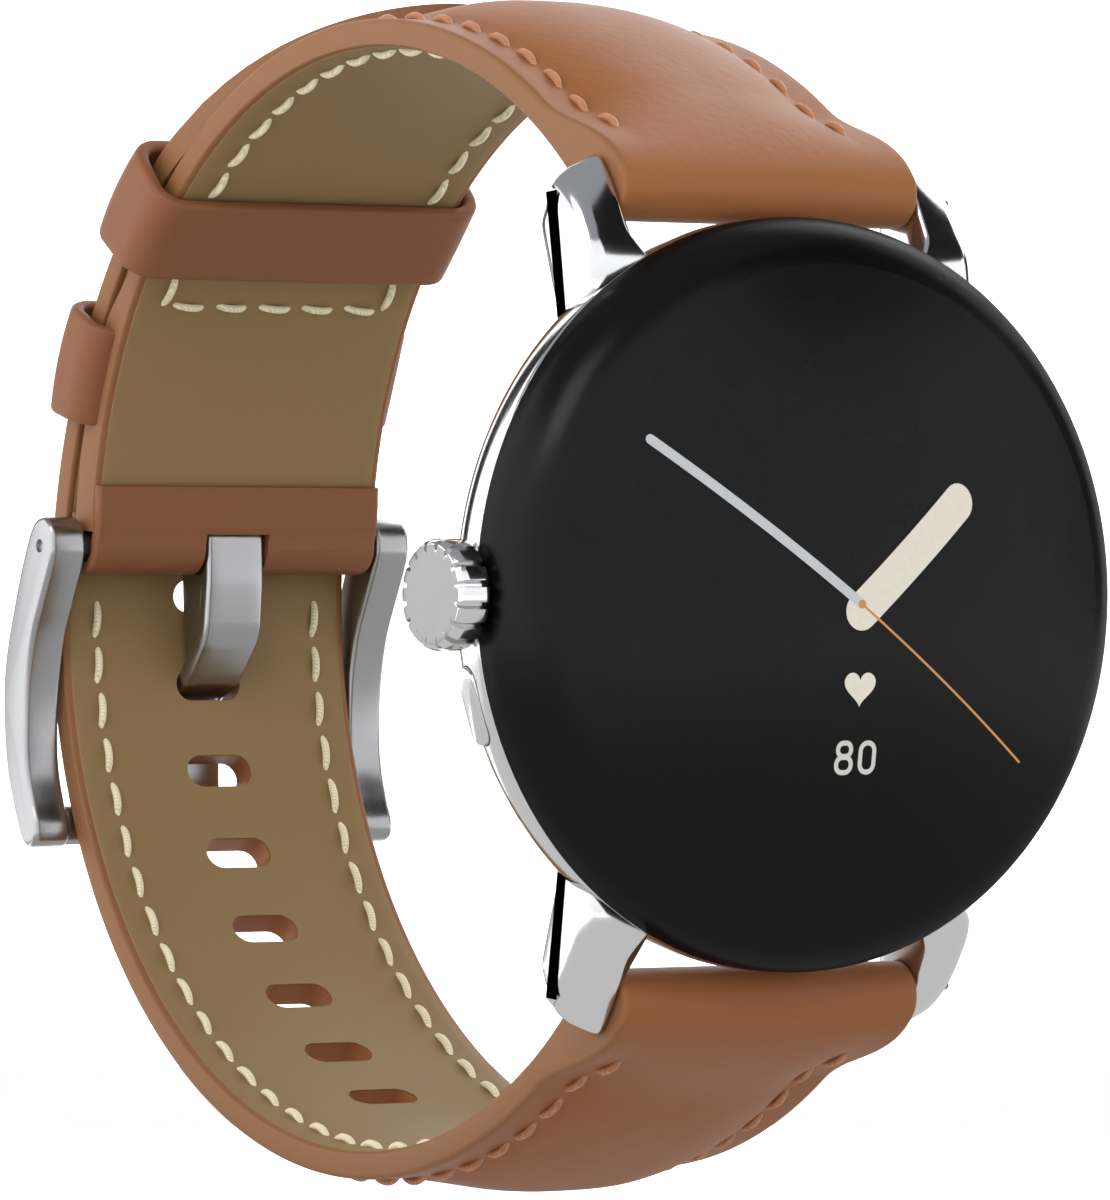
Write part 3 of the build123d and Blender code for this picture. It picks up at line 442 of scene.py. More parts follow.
def dress(name, mat):
    """Gives every slot of a CAD node one material."""
    obj = cad[name]
    obj.data.materials.clear()
    obj.data.materials.append(mat)


dress("cover_glass", glass)
dress("glass_seal", seal)

# ---------------------------------------------------------------- screen picture
# Hands, heart and count are lit points of the screen under the glass, drawn as thin
# films that follow the dome.


def lit(name, colour):
    """Glowing film with the fine grid of a screen."""
    mat, tree, shader = new_material(name)
    feed(shader, Base_Color=(0, 0, 0, 1), Roughness=0.3, Specular_IOR_Level=0.1, Emission_Strength=1.0)
    where = node(tree, "ShaderNodeTexCoord")
    grid = node(tree, "ShaderNodeTexNoise", Scale=3000.0, Detail=0.0)
    tree.links.new(where.outputs["Object"], grid.inputs["Vector"])
    mix = node(tree, "ShaderNodeMix", data_type="RGBA")
    mix.inputs[6].default_value = tuple(c * 0.92 for c in colour[:3]) + (1,)
    mix.inputs[7].default_value = colour
    tree.links.new(grid.outputs["Fac"], mix.inputs[0])
    tree.links.new(mix.outputs[2], shader.inputs["Emission Color"])
    return mat


DOME_R, DOME_Y = 64.0, 51.7


def on_dome(x, z, lift):
    """Point just above the glass."""
    return (x, DOME_Y - sqrt(DOME_R ** 2 - x * x - z * z) - lift, z)


def film(name, line, width, mat, lift=0.02, closed=False):
    """Ribbon of constant width along a line of (x, z), lying on the glass."""
    if not closed:
        (xa, za), (xb, zb) = line[0], line[1]
        d = hypot(xb - xa, zb - za)
        u = ((xb - xa) / d, (zb - za) / d)
        (xc, zc), (xd, zd) = line[-2], line[-1]
        e = hypot(xd - xc, zd - zc)
        v = ((xd - xc) / e, (zd - zc) / e)
    rows = []
    count = len(line)
    for i, (x, z) in enumerate(line):
        a = line[(i - 1) % count] if closed or i else line[0]
        b = line[(i + 1) % count] if closed or i < count - 1 else line[-1]
        d = hypot(b[0] - a[0], b[1] - a[1])
        rows.append((x, z, -(b[1] - a[1]) / d, (b[0] - a[0]) / d, width / 2))
    if not closed:
        x0, z0, nx0, nz0, w = rows[0]
        x1, z1, nx1, nz1, _ = rows[-1]
        head = [(x0 - u[0] * w * sin(a), z0 - u[1] * w * sin(a), nx0, nz0, w * cos(a))
                for a in [pi / 2 * i / 6 * 0.98 for i in range(6, 0, -1)]]
        tail = [(x1 + v[0] * w * sin(a), z1 + v[1] * w * sin(a), nx1, nz1, w * cos(a))
                for a in [pi / 2 * i / 6 * 0.98 for i in range(1, 7)]]
        rows = head + rows + tail
    points, across = [], 5
    for x, z, nx, nz, w in rows:
        for k in range(across):
            s = (2 * k / (across - 1) - 1) * w
            points.append(on_dome(x + nx * s, z + nz * s, lift))
    faces = []
    n = len(rows)
    for i in range(n if closed else n - 1):
        for k in range(across - 1):
            a, b = i * across + k, ((i + 1) % n) * across + k
            faces.append((a, a + 1, b + 1, b))
    return add_object(name, points, faces, [mat])


def line_to(x0, z0, x1, z1, n=24):
    """Straight line of even points."""
    return [(x0 + (x1 - x0) * i / n, z0 + (z1 - z0) * i / n) for i in range(n + 1)]


PIVOT_Z = -0.5
silver_lit = lit("lit_silver", srgb(196, 200, 203))
cream_lit = lit("lit_cream", srgb(226, 219, 205))
orange_lit = lit("lit_orange", srgb(200, 143, 84))
grey_lit = lit("lit_grey", srgb(205, 205, 200))
hour = film("screen_hour", line_to(0, PIVOT_Z - 0.38, 6.9, PIVOT_Z + 5.5), 2.1, cream_lit, 0.015)
minute = film("screen_minute", line_to(0, PIVOT_Z, -12.65, PIVOT_Z + 8.76), 0.55, silver_lit, 0.022)
second = film("screen_second", line_to(0, PIVOT_Z, 11.98, PIVOT_Z - 8.63), 0.14, orange_lit, 0.03)
dot = film("screen_dot", line_to(-0.02, PIVOT_Z, 0.02, PIVOT_Z, 2), 0.46, orange_lit, 0.034)
HEART_Z, HEART_W, HEART_H, HEART_POINTS = PIVOT_Z - 4.62, 2.07, 1.88, 64
heart_line = []
for i in range(HEART_POINTS):
    t = 2 * pi * i / HEART_POINTS
    heart_line.append((16 * sin(t) ** 3 / 32 * HEART_W,
                       (13 * cos(t) - 5 * cos(2 * t) - 2 * cos(3 * t) - cos(4 * t) + 2.5) / 29 * HEART_H))
heart_points = [on_dome(0, HEART_Z, 0.02)]
for scale in (0.35, 0.7, 1.0):
    heart_points += [on_dome(x * scale, HEART_Z + z * scale, 0.02) for x, z in heart_line]
heart_faces = fan(HEART_POINTS) + bands(1, 3, HEART_POINTS)
heart = add_object("screen_heart", heart_points, heart_faces, [cream_lit])


def rounded_box(cx, cz, w, h, r, steps=6):
    """Rounded rectangle as a closed line."""
    out = []
    for sx, sz, a0 in ((1, 1, 0), (-1, 1, 90), (-1, -1, 180), (1, -1, 270)):
        for i in range(steps + 1):
            a = radians(a0 + 90 / steps * i)
            out.append((cx + sx * (w / 2 - r) + r * cos(a), cz + sz * (h / 2 - r) + r * sin(a)))
    return out


DIGIT_X, DIGIT_Z, DIGIT_LINE = 0.77, PIVOT_Z - 8.26, 0.27
digit_loops = (("digit_a", (-DIGIT_X, DIGIT_Z + 0.43, 0.86, 0.72, 0.34)),
               ("digit_b", (-DIGIT_X, DIGIT_Z - 0.39, 0.96, 0.82, 0.38)),
               ("digit_c", (DIGIT_X, DIGIT_Z, 0.92, 1.58, 0.44)))
digits = [film(name, rounded_box(*box), DIGIT_LINE, grey_lit, closed=True) for name, box in digit_loops]
picture = join("screen_picture", [hour, minute, second, dot, heart] + digits)
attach(picture, "watch")

# ---------------------------------------------------------------- crown and side button
# Polished steel crown with sixteen milled teeth and a satin end face, on a plain
# collar; the side button is a polished oblong plug in its slot.


def ease(a, b, x):
    """Smooth 0 to 1 between two values."""
    t = min(1.0, max(0.0, (x - a) / (b - a)))
    return t * t * (3 - 2 * t)


CROWN_R, CROWN_TEETH, CROWN_GROOVE = 3.0, 16, 0.4
CROWN_FACE_X, CROWN_FACE_R, COLLAR_R = -22.75, 2.3, 2.2


def crown_radius(turn):
    """Outside of the toothed crown: wide flat teeth with narrow grooves."""
    pitch = 2 * pi / CROWN_TEETH
    off = abs(((turn / pitch + 0.5) % 1.0) - 0.5) * 2
    return CROWN_R - CROWN_GROOVE * ease(0.66, 0.8, off)


def make_crown():
    """Toothed barrel with rounded edges, its end face and collar."""
    turns = CROWN_TEETH * 24
    stations = [(CROWN_FACE_X, CROWN_FACE_R), (CROWN_FACE_X, 2.68), (-22.72, 2.74), (-22.6, 2.84),
                (-22.45, 2.94), (-22.3, 2.99), (-22.15, CROWN_R), (-21.2, CROWN_R), (-21.0, 2.97),
                (-20.88, 2.88), (-20.8, 2.7), (-20.8, COLLAR_R), (-19.65, COLLAR_R)]
    points = [(CROWN_FACE_X, CROWN_Y, 0)]
    for x, limit in stations:
        toothed = limit > CROWN_FACE_R
        for i in range(turns):
            a = 2 * pi * i / turns
            r = crown_radius(a) - (CROWN_R - limit) if toothed else limit
            points.append((x, CROWN_Y + r * cos(a), r * sin(a)))
    faces = fan(turns) + bands(1, len(stations), turns)
    slots = [1] * 2 * turns + [0] * (len(faces) - 2 * turns)
    obj = add_object("crown_body", points, faces, [chrome, crown_face], slots)
    tidy(obj, 35)
    return obj


crown_face = textured("crown_face_satin", (0.27, 0.27, 0.27), 0.36, metal=1.0, vary=0.03, scale=500.0)
crown = make_crown()
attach(crown, "crown")
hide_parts("crown_knob")
button = button_plug("side_button_plug", 18.6, 20.6, 0.0, 0.18)
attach(button, "side_button")
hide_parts("side_button")

# ---------------------------------------------------------------- leather of the straps
# Tan calf leather over foam, the two layers glued and painted along their cut edges,
# turned round a spring bar at the watch and round the buckle's bar.
TOP, TOP_R = (21.078, 1.601), 29.15
BOTTOM, BOTTOM_R = (22.847, -0.636), 30.65
TAIL_START, TAIL_SHIFT = 8, 3.35
TAIL = (BOTTOM[0] - TAIL_SHIFT * cos(radians(TAIL_START)), BOTTOM[1] - TAIL_SHIFT * sin(radians(TAIL_START)))
TAIL_R, TAIL_TIP_L, TAIL_TIP_ANGLE = 34, 22.0, 79
HALF_W = 9.9


def leather_group():
    """Shader group: colour and height of fine leather grain, with soft creases and patches worn lighter."""
    group = bpy.data.node_groups.new("leather_grain", "ShaderNodeTree")
    sockets = (("Colour", "INPUT", "Color"), ("Rubbed", "INPUT", "Color"), ("Scale", "INPUT", "Float"),
               ("Colour", "OUTPUT", "Color"), ("Height", "OUTPUT", "Float"), ("Mask", "OUTPUT", "Float"))
    for name, way, kind in sockets:
        group.interface.new_socket(name, in_out=way, socket_type=f"NodeSocket{kind}")
    given, out = node(group, "NodeGroupInput"), node(group, "NodeGroupOutput")
    where = node(group, "ShaderNodeTexCoord")
    cells = node(group, "ShaderNodeTexVoronoi", feature="SMOOTH_F1")
    creases = node(group, "ShaderNodeTexNoise", Detail=6.0, Roughness=0.6)
    patches = node(group, "ShaderNodeTexNoise", Scale=90.0, Detail=3.0)
    wide = node(group, "ShaderNodeMath", operation="MULTIPLY")
    wide.inputs[1].default_value = 0.45
    group.links.new(given.outputs["Scale"], cells.inputs["Scale"])
    group.links.new(given.outputs["Scale"], wide.inputs[0])
    group.links.new(wide.outputs[0], creases.inputs["Scale"])
    for texture in (cells, creases, patches):
        group.links.new(where.outputs["Object"], texture.inputs["Vector"])
    height = node(group, "ShaderNodeMath", operation="ADD")
    group.links.new(cells.outputs["Distance"], height.inputs[0])
    group.links.new(creases.outputs["Fac"], height.inputs[1])
    mask = node(group, "ShaderNodeMapRange", From_Min=0.35, From_Max=0.75)
    group.links.new(patches.outputs["Fac"], mask.inputs["Value"])
    fine = node(group, "ShaderNodeMath", operation="MULTIPLY_ADD")
    fine.inputs[1].default_value, fine.inputs[2].default_value = 0.5, 0.0
    group.links.new(creases.outputs["Fac"], fine.inputs[0])
    both = node(group, "ShaderNodeMath", operation="MULTIPLY")
    group.links.new(mask.outputs["Result"], both.inputs[0])
    group.links.new(fine.outputs[0], both.inputs[1])
    mix = node(group, "ShaderNodeMix", data_type="RGBA")
    group.links.new(both.outputs[0], mix.inputs[0])
    group.links.new(given.outputs["Colour"], mix.inputs[6])
    group.links.new(given.outputs["Rubbed"], mix.inputs[7])
    group.links.new(mix.outputs[2], out.inputs["Colour"])
    group.links.new(height.outputs[0], out.inputs["Height"])
    group.links.new(mask.outputs["Result"], out.inputs["Mask"])
    return group


grain = leather_group()


def leather(name, colour, wear_and_groove_shade, rough=0.5, scale=2000.0, depth=0.035):
    """Leather of one colour, worn lighter in patches."""
    mat, tree, shader = new_material(name)
    made = node(tree, "ShaderNodeGroup", node_tree=grain)
    feed(made, Colour=colour, Rubbed=wear_and_groove_shade, Scale=scale)
    tree.links.new(made.outputs["Colour"], shader.inputs["Base Color"])
    raised = node(tree, "ShaderNodeBump", Strength=0.45, Distance=depth * MM)
    tree.links.new(made.outputs["Height"], raised.inputs["Height"])
    tree.links.new(raised.outputs["Normal"], shader.inputs["Normal"])
    tree.links.new(ranged(tree, made.outputs["Mask"], rough * 0.9, rough * 1.15), shader.inputs["Roughness"])
    feed(shader, Specular_IOR_Level=0.22)
    return mat


tan = leather("tan_leather", srgb(140, 86, 48), srgb(149, 94, 55), 0.5)
edge_paint = leather("edge_paint", srgb(128, 86, 53), srgb(138, 95, 61), 0.5, 3000.0, 0.01)
brown = leather("brown_leather", srgb(122, 77, 48), srgb(130, 84, 55), 0.5)
khaki = leather("khaki_lining", srgb(131, 107, 70), srgb(137, 113, 76), 0.65, 2600.0, 0.015)


def polar(centre, radius, angle):
    """Point (y, z) at an angle in degrees about a strap's centre."""
    return centre[0] + radius * cos(radians(angle)), centre[1] + radius * sin(radians(angle))


def crown_of(x, half=7.45):
    """Height across the padded strap: full in the middle, nothing at the stitching."""
    return (1 - min(1.0, abs(x) / half) ** 2.6) ** 0.75


EDGE_STEPS = 5


def columns(half, round_r, middle):
    """X places across a strap with the inset of its rounded edges."""
    left = [(-half + round_r * (1 - cos(a)), round_r * (1 - sin(a)))
            for a in [pi / 2 * i / EDGE_STEPS for i in range(EDGE_STEPS + 1)]]
    inner = [(-half + round_r + (2 * half - 2 * round_r) * i / middle, 0.0) for i in range(1, middle)]
    return left + inner + [(-x, d) for x, d in reversed(left)]


def moved(p, q, step):
    """Point a step from p towards q."""
    size = hypot(q[0] - p[0], q[1] - p[1])
    return p[0] + (q[0] - p[0]) / size * step, p[1] + (q[1] - p[1]) / size * step


def strap_body(name, stations, roll, mats):
    """Closed leather body: stations give inner and outer (y, z) for a column, roll closes the far end."""
    cols = columns(HALF_W, 0.32, 44)
    points, count = [], None
    for x, inset in cols:
        inner, outer = stations(x)
        o = [moved(p, q, inset) for p, q in zip(outer, inner)]
        n = [moved(q, p, inset * 0.5) for p, q in zip(outer, inner)]
        loop = o + roll(inset) + n[::-1]
        count = len(loop)
        points += [(x, y, z) for y, z in loop]
    faces, slots = [], []
    stops = len(inner)
    for c in range(len(cols) - 1):
        rim = c < EDGE_STEPS or c >= len(cols) - EDGE_STEPS - 1
        for i in range(count):
            j = (i + 1) % count
            faces.append((c * count + i, (c + 1) * count + i, (c + 1) * count + j, c * count + j))
            slots.append(1 if rim and (i < stops or i >= count - stops) or i == count - 1 else 0)
    for c in (0, len(cols) - 1):
        for i in range(stops - 1):
            j = count - 1 - i
            faces.append((c * count + i, c * count + i + 1, c * count + j - 1, c * count + j))
            slots.append(1)
        if count > 2 * stops:
            faces.append(tuple(c * count + k for k in range(stops - 1, count - stops + 1)))
            slots.append(1)
    obj = add_object(name, points, faces, mats, slots)
    tidy(obj, 50)
    return obj


BAR_Y, BAR_Z = -2.35, 22.1
ROLL_R = 1.9


def roll_line(sign, start, end, n=26):
    """Function that gives, for an inset, points round a spring bar from one angle to another, degrees."""
    angles = [start + (end - start) * i / n for i in range(n + 1)]

    def made(inset):
        return [polar((BAR_Y, sign * BAR_Z), ROLL_R - inset, angle) for angle in angles]
    return made


def top_thick(angle, x):
    """Thickness of the 12 o'clock strap."""
    full = 1.6 + 0.6 * ease(34, 27, angle) + 1.4 * ease(84, 97, angle) * crown_of(x)
    return full + (3.88 - full) * ease(124, 138.2, angle)


def bottom_thick(angle, x):
    """Thickness of the 6 o'clock strap."""
    full = 1.6 + 1.4 * ease(-90, -103, angle) * crown_of(x)
    return full + (4.35 - full) * ease(-125, -139.2, angle)


def top_stations(x):
    """Inner and outer lines of the 12 o'clock strap at one column."""
    inner, outer, steps = [], [], 140
    start, end = 4.2, 138.2
    for i in range(steps + 1):
        angle = start + (end - start) * i / steps
        inner.append(polar(TOP, TOP_R + 0.04 + 0.04 * ease(131, 138, angle), angle))
        outer.append(polar(TOP, TOP_R + top_thick(angle, x), angle))
    return inner, outer


def bottom_point(angle, radius):
    """Point of the 6 o'clock strap, on its own arc or on the tail's; the radius is from the strap's."""
    if angle <= TAIL_START:
        return polar(BOTTOM, radius, angle)
    return polar(TAIL, radius + TAIL_SHIFT, angle)


def tail_tip(x):
    """Angle at which the half-elliptical tip of the tail ends at one column."""
    return TAIL_TIP_ANGLE - degrees(TAIL_TIP_L * (1 - sqrt(1 - min(1.0, abs(x) / HALF_W) ** 2)) / TAIL_R)


def bottom_stations(x):
    """Inner and outer lines of the 6 o'clock strap and its tail at one column."""
    inner, outer, steps = [], [], 200
    start, end = -139.2, tail_tip(x)
    for i in range(steps + 1):
        angle = start + (end - start) * i / steps
        inner.append(bottom_point(angle, BOTTOM_R + 0.04 + 0.5 * ease(-134, -139, angle)))
        outer.append(bottom_point(angle, BOTTOM_R + bottom_thick(angle, x)))
    return inner[::-1], outer[::-1]


strap_12 = strap_body("strap_12_leather", top_stations, roll_line(1, 141, 316), [tan, edge_paint])
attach(strap_12, "watch")
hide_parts("strap_12_outer", "strap_12_filler", "strap_12_stiffener")
strap_6 = strap_body("strap_6_leather", bottom_stations, roll_line(-1, -142, -317), [tan, edge_paint])


HOLES, FIRST_HOLE, HOLE_STEP = 8, 1.1, 9.9
HOLE_R, HOLE_HALF, PUNCH_REACH = 0.95, 1.25, 3.0


def hole_cutters(grow=0.0):
    """Oblong punches at an even pitch through the 6 o'clock strap."""
    made = []
    for k in range(HOLES):
        angle = FIRST_HOLE - HOLE_STEP * k
        y, z = polar(BOTTOM, BOTTOM_R + 0.75, angle)
        ry, rz = cos(radians(angle)), sin(radians(angle))
        ends = oblong(HOLE_HALF, HOLE_R + grow, 10)
        points = []
        for reach in (-PUNCH_REACH, PUNCH_REACH):
            points += [(u, y + ry * reach - rz * v, z + rz * reach + ry * v) for u, v in ends]
        punch = add_object(f"punch_{k}", points, capped(2, len(ends)), [tan])
        tidy(punch)
        made.append(punch)
    return join("punches", made)


cut(strap_6, hole_cutters())
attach(strap_6, "watch")
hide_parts("strap_6_outer", "strap_6_filler")


def lining(name, place, start, end, rows):
    """Thin inner leather with softly rounded sides, following a strap's inner face."""
    half = HALF_W - 0.42
    across = [(-half, 0.06), (-half + 0.03, 0.02), (-half + 0.1, -0.015)]
    across += [(-half + 0.1 + (2 * half - 0.2) * i / 30, -0.02) for i in range(1, 30)]
    across += [(half - 0.1, -0.015), (half - 0.03, 0.02), (half, 0.06)]
    points, faces = [], []
    for i in range(rows + 1):
        for x, lift in across:
            angle = start + (end(x) - start) * i / rows
            y, z = place(angle, lift)
            points.append((x, y, z))
    n = len(across)
    for i in range(rows):
        for k in range(n - 1):
            faces.append((i * n + k, i * n + k + 1, (i + 1) * n + k + 1, (i + 1) * n + k))
    obj = add_object(name, points, faces, [khaki])
    solid = obj.modifiers.new("thickness", "SOLIDIFY")
    solid.thickness = 0.05 * MM
    solid.offset = 0.0
    return obj


lining_12 = lining("strap_12_khaki", lambda a, d: polar(TOP, TOP_R + d, a), 9.2, lambda x: 134.5, 150)
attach(lining_12, "watch")
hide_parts("strap_12_lining")
lining_6 = lining("strap_6_khaki", lambda a, d: bottom_point(a, BOTTOM_R + d), -134.5,
                  lambda x: tail_tip(x * 1.04) - 0.7, 220)
cut(lining_6, hole_cutters(0.03))
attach(lining_6, "watch")
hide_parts("strap_6_lining")

# ---------------------------------------------------------------- fold round the buckle bar
# Redder leather skived thin, turned from the inside of the strap round the buckle's
# bar and glued back between the layers, slotted for the tongue.
BUCKLE = (51.53, 2.9)


def strip_along(name, line, thick, half, mats, middle=12):
    """Flat strip along a line of (y, z), its side edges rounded."""
    rounding = 0.3
    count = len(line)
    normals = []
    for i in range(count):
        a, b = line[max(i - 1, 0)], line[min(i + 1, count - 1)]
        d = hypot(b[0] - a[0], b[1] - a[1])
        normals.append((-(b[1] - a[1]) / d, (b[0] - a[0]) / d))
    points, faces, slots = [], [], []
    cols = columns(half, rounding, middle)
    for x, inset in cols:
        w = thick / 2 - inset * (thick / 2 / rounding) * 0.9
        points += [(x, p[0] + n[0] * w, p[1] + n[1] * w) for p, n in zip(line, normals)]
        points += [(x, p[0] - n[0] * w, p[1] - n[1] * w) for p, n in zip(line, normals)]
    size = 2 * count
    for c in range(len(cols) - 1):
        a, b = c * size, (c + 1) * size
        rim = c < EDGE_STEPS - 1 or c >= len(cols) - EDGE_STEPS
        for i in range(count - 1):
            j = i + 1
            faces.append((a + i, a + j, b + j, b + i))
            faces.append((a + count + j, a + count + i, b + count + i, b + count + j))
            slots += [1 if rim else 0] * 2
        faces.append((a, b, b + count, a + count))
        faces.append((a + count - 1, a + 2 * count - 1, b + 2 * count - 1, b + count - 1))
        slots += [1, 1]
    for c in (0, len(cols) - 1):
        for i in range(count - 1):
            j = i + 1
            faces.append((c * size + i, c * size + j, c * size + count + j, c * size + count + i))
            slots.append(1)
    obj = add_object(name, points, faces, mats, slots)
    tidy(obj, 50)
    return obj


fold_line = [polar(TOP, 28.97 + 0.12 * ease(7.0, 9.5, a), a) for a in [9.6 - 0.4 * i for i in range(13)]]
fold_line += [polar(BUCKLE, 1.3, a) for a in range(172, 372, 8)]
fold_line += [polar(TOP, 31.4, a) for a in (3.6, 4.4, 5.2, 6.0)]
brown_edge = leather("brown_edge", srgb(126, 80, 52), srgb(136, 89, 60), 0.5, 3000.0, 0.01)
fold = strip_along("strap_12_fold", fold_line, 0.75, HALF_W - 0.02, [brown, brown_edge])
slot_corners = ((46, -1), (58, -1), (58, 3.6), (46, 3.6))
slot_points = [(x, y, z) for x in (-2.2, 2.2) for y, z in slot_corners]
slot = add_object("tongue_slot", slot_points, capped(2, 4), [brown])
tidy(slot)
cut(fold, slot)
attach(fold, "watch")

# ---------------------------------------------------------------- keepers
# Two loops of the redder leather: the fixed one glued in between the strap's layers,
# the free one loose round both halves.


def keeper(name, centre, r_in, r_out, half, start, end, thick, corner, bulge):
    """Band of leather round both halves of the strap, thick and softly rounded."""
    ring = rounded_box(0, 0, 2 * half, r_out - r_in, corner, 8)
    dense = []
    for i, (x, r) in enumerate(ring):
        x2, r2 = ring[(i + 1) % len(ring)]
        steps = max(1, int(hypot(x2 - x, r2 - r) / 0.8))
        dense += [(x + (x2 - x) * k / steps, r + (r2 - r) * k / steps) for k in range(steps)]
    mid = (r_in + r_out) / 2
    count = len(dense)
    outwards = []
    for i in range(count):
        a, b = dense[i - 1], dense[(i + 1) % count]
        d = hypot(b[0] - a[0], b[1] - a[1])
        outwards.append(((b[1] - a[1]) / d, -(b[0] - a[0]) / d))
    half_arc = (end - start) / 2
    middle_angle = (start + end) / 2
    round_deg = degrees(0.3 / mid)
    edge = []
    for i in range(EDGE_STEPS + 1):
        a = pi / 2 * i / EDGE_STEPS
        edge.append((-half_arc + round_deg * (1 - cos(a)), 1 - (1 - sin(a)) * 0.75))
    lanes = edge + [(-half_arc + round_deg + 2 * (half_arc - round_deg) * i / 8, 1.0) for i in range(1, 8)]
    lanes += [(-a, k) for a, k in reversed(edge)]
    points, faces, slots = [], [], []
    for side in (1, -1):
        for offset, fullness in lanes:
            angle = middle_angle + offset
            belly = bulge * (1 - (offset / half_arc) ** 2)
            for (x, r), (nx, nr) in zip(dense, outwards):
                reach = side * thick / 2 * fullness
                swell = belly if abs(nx) > 0.5 else belly * 0.3
                y, z = polar(centre, mid + r + nr * (reach + swell), angle)
                points.append((x + nx * (reach + swell), y, z))
    lane_count = len(lanes)
    for s in range(2):
        base = s * lane_count * count
        for k in range(lane_count - 1):
            for i in range(count):
                j = (i + 1) % count
                a = base + k * count
                faces.append((a + i, a + j, a + count + j, a + count + i))
                slots.append(1 if (k < 3 or k > lane_count - 5) else 0)
    for k in (0, lane_count - 1):
        for i in range(count):
            j = (i + 1) % count
            a, b = k * count, (lane_count + k) * count
            faces.append((a + i, a + j, b + j, b + i))
            slots.append(1)
    obj = add_object(name, points, faces, [brown, brown_edge], slots)
    tidy(obj, 60)
    return obj


free = keeper("free_keeper_loop", TOP, 28.62, 33.52, 10.9, 36.3, 47.5, 0.85, 1.5, 0.12)
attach(free, "free_keeper")
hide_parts("free_keeper")
fixed = keeper("fixed_keeper_loop", TOP, 30.2, 33.95, 10.75, 16.1, 27.5, 0.8, 1.3, 0.1)
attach(fixed, "watch")
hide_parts("fixed_keeper")

# ---------------------------------------------------------------- buckle
# Satin steel bow with two bowed arms riveted to a bar, and a bent steel tongue that
# hooks round the bar and rests over the cross bar.
satin_side = textured("satin_bright", (0.36, 0.36, 0.365), 0.26, metal=1.0, vary=0.02, scale=300.0)
arm_outline = smooth_line([(52.5, 4.25), (53.6, 2.3), (54.95, -1.3), (55.75, -4.2), (55.9, -7.0),
                           (55.55, -10.2), (54.7, -12.7), (53.9, -14.35), (53.05, -14.85), (52.25, -14.5),
                           (52.15, -13.5), (52.65, -12.2), (53.2, -10.4), (53.4, -8.4), (53.2, -5.3),
                           (52.6, -2.6), (51.65, -0.5), (50.5, 1.9), (50.3, 3.0), (50.55, 4.0), (51.35, 4.6)],
                          per=6)
frame_parts = []
for side in (1, -1):
    arm = slab(f"arm_{side}", arm_outline, 10.2, 12.65, [satin_side], (0.35, 0.38), 5)
    dimple = revolved("dimple", [(0.001, 12.45), (0.34, 12.45), (0.42, 12.75), (0.42, 13), (0.001, 13)],
                      [satin_side], 32, "X", (0, 51.65, 2.9))
    cut(arm, dimple)
    arm.data.transform(Matrix.Diagonal((side, 1, 1, 1)))
    tidy(arm, 50)
    frame_parts.append(arm)
cross_outline = rounded_box(53.76, -13.6, 1.9, 2.3, 0.6)
frame_parts.append(slab("cross_bar", cross_outline, -10.4, 10.4, [satin_side], (0.05, 0.05), 2))
bow = join("buckle_bow", frame_parts)
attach(bow, "buckle")
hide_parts("buckle_frame")


def rounded_route(corners, radius, per=7):
    """Polyline with its inner corners rounded."""
    out = [corners[0]]
    for a, b, c in zip(corners, corners[1:], corners[2:]):
        d0, d1 = hypot(a[0] - b[0], a[1] - b[1]), hypot(c[0] - b[0], c[1] - b[1])
        r = min(radius, d0 * 0.48, d1 * 0.48)
        p, q = moved(b, a, r), moved(b, c, r)
        for i in range(per + 1):
            t = i / per
            out.append(tuple((1 - t) ** 2 * p[n] + 2 * t * (1 - t) * b[n] + t * t * q[n] for n in range(2)))
    return out + [corners[-1]]


tongue_line = rounded_route([(52.6, 3.85), (51.6, 4.15), (50.5, 3.7), (50.45, 1.2), (50.78, -2.3),
                             (52.9, -4.95), (55.28, -6.0), (55.28, -14.5)], 0.8)
leaf = strip_along("tongue_leaf", tongue_line, 1.05, 2.0, [satin_side, satin_side], middle=4)
heel_outline = [(50.75, 2.3), (53.1, 2.3), (53.0, -0.5), (52.72, -4.1), (52.35, -4.3), (50.95, -2.1), (50.75, 0.5)]
heel = slab("tongue_heel", heel_outline, -1.86, 1.86, [satin_side], (0.12, 0.12), 3)
tongue = join("tongue_bent", [leaf, heel])
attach(tongue, "tongue")
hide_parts("buckle_tongue")
dress("buckle_bar", satin)

# ---------------------------------------------------------------- stitching
# Saddle stitches of waxed linen thread, cream on the linings and tan on the outsides,
# each sunk at its ends.


def thread_material(name, colour, wear_and_groove_shade):
    """Twisted thread: fine slanted lines round each stitch, with painted shade in the grooves of the twist."""
    mat, tree, shader = new_material(name)
    where = node(tree, "ShaderNodeTexCoord")
    twist = node(tree, "ShaderNodeTexWave", Scale=2400.0, Distortion=0.8, bands_direction="DIAGONAL")
    tree.links.new(where.outputs["Object"], twist.inputs["Vector"])
    mix = node(tree, "ShaderNodeMix", data_type="RGBA")
    # Painted shade: the darker second colour goes where the twist's bump is low, in its grooves.
    mix.inputs[6].default_value, mix.inputs[7].default_value = wear_and_groove_shade, colour
    tree.links.new(twist.outputs["Fac"], mix.inputs[0])
    tree.links.new(mix.outputs[2], shader.inputs["Base Color"])
    raised = node(tree, "ShaderNodeBump", Strength=0.5, Distance=0.012 * MM)
    tree.links.new(twist.outputs["Fac"], raised.inputs["Height"])
    tree.links.new(raised.outputs["Normal"], shader.inputs["Normal"])
    feed(shader, Roughness=0.65, Sheen_Weight=0.2)
    return mat


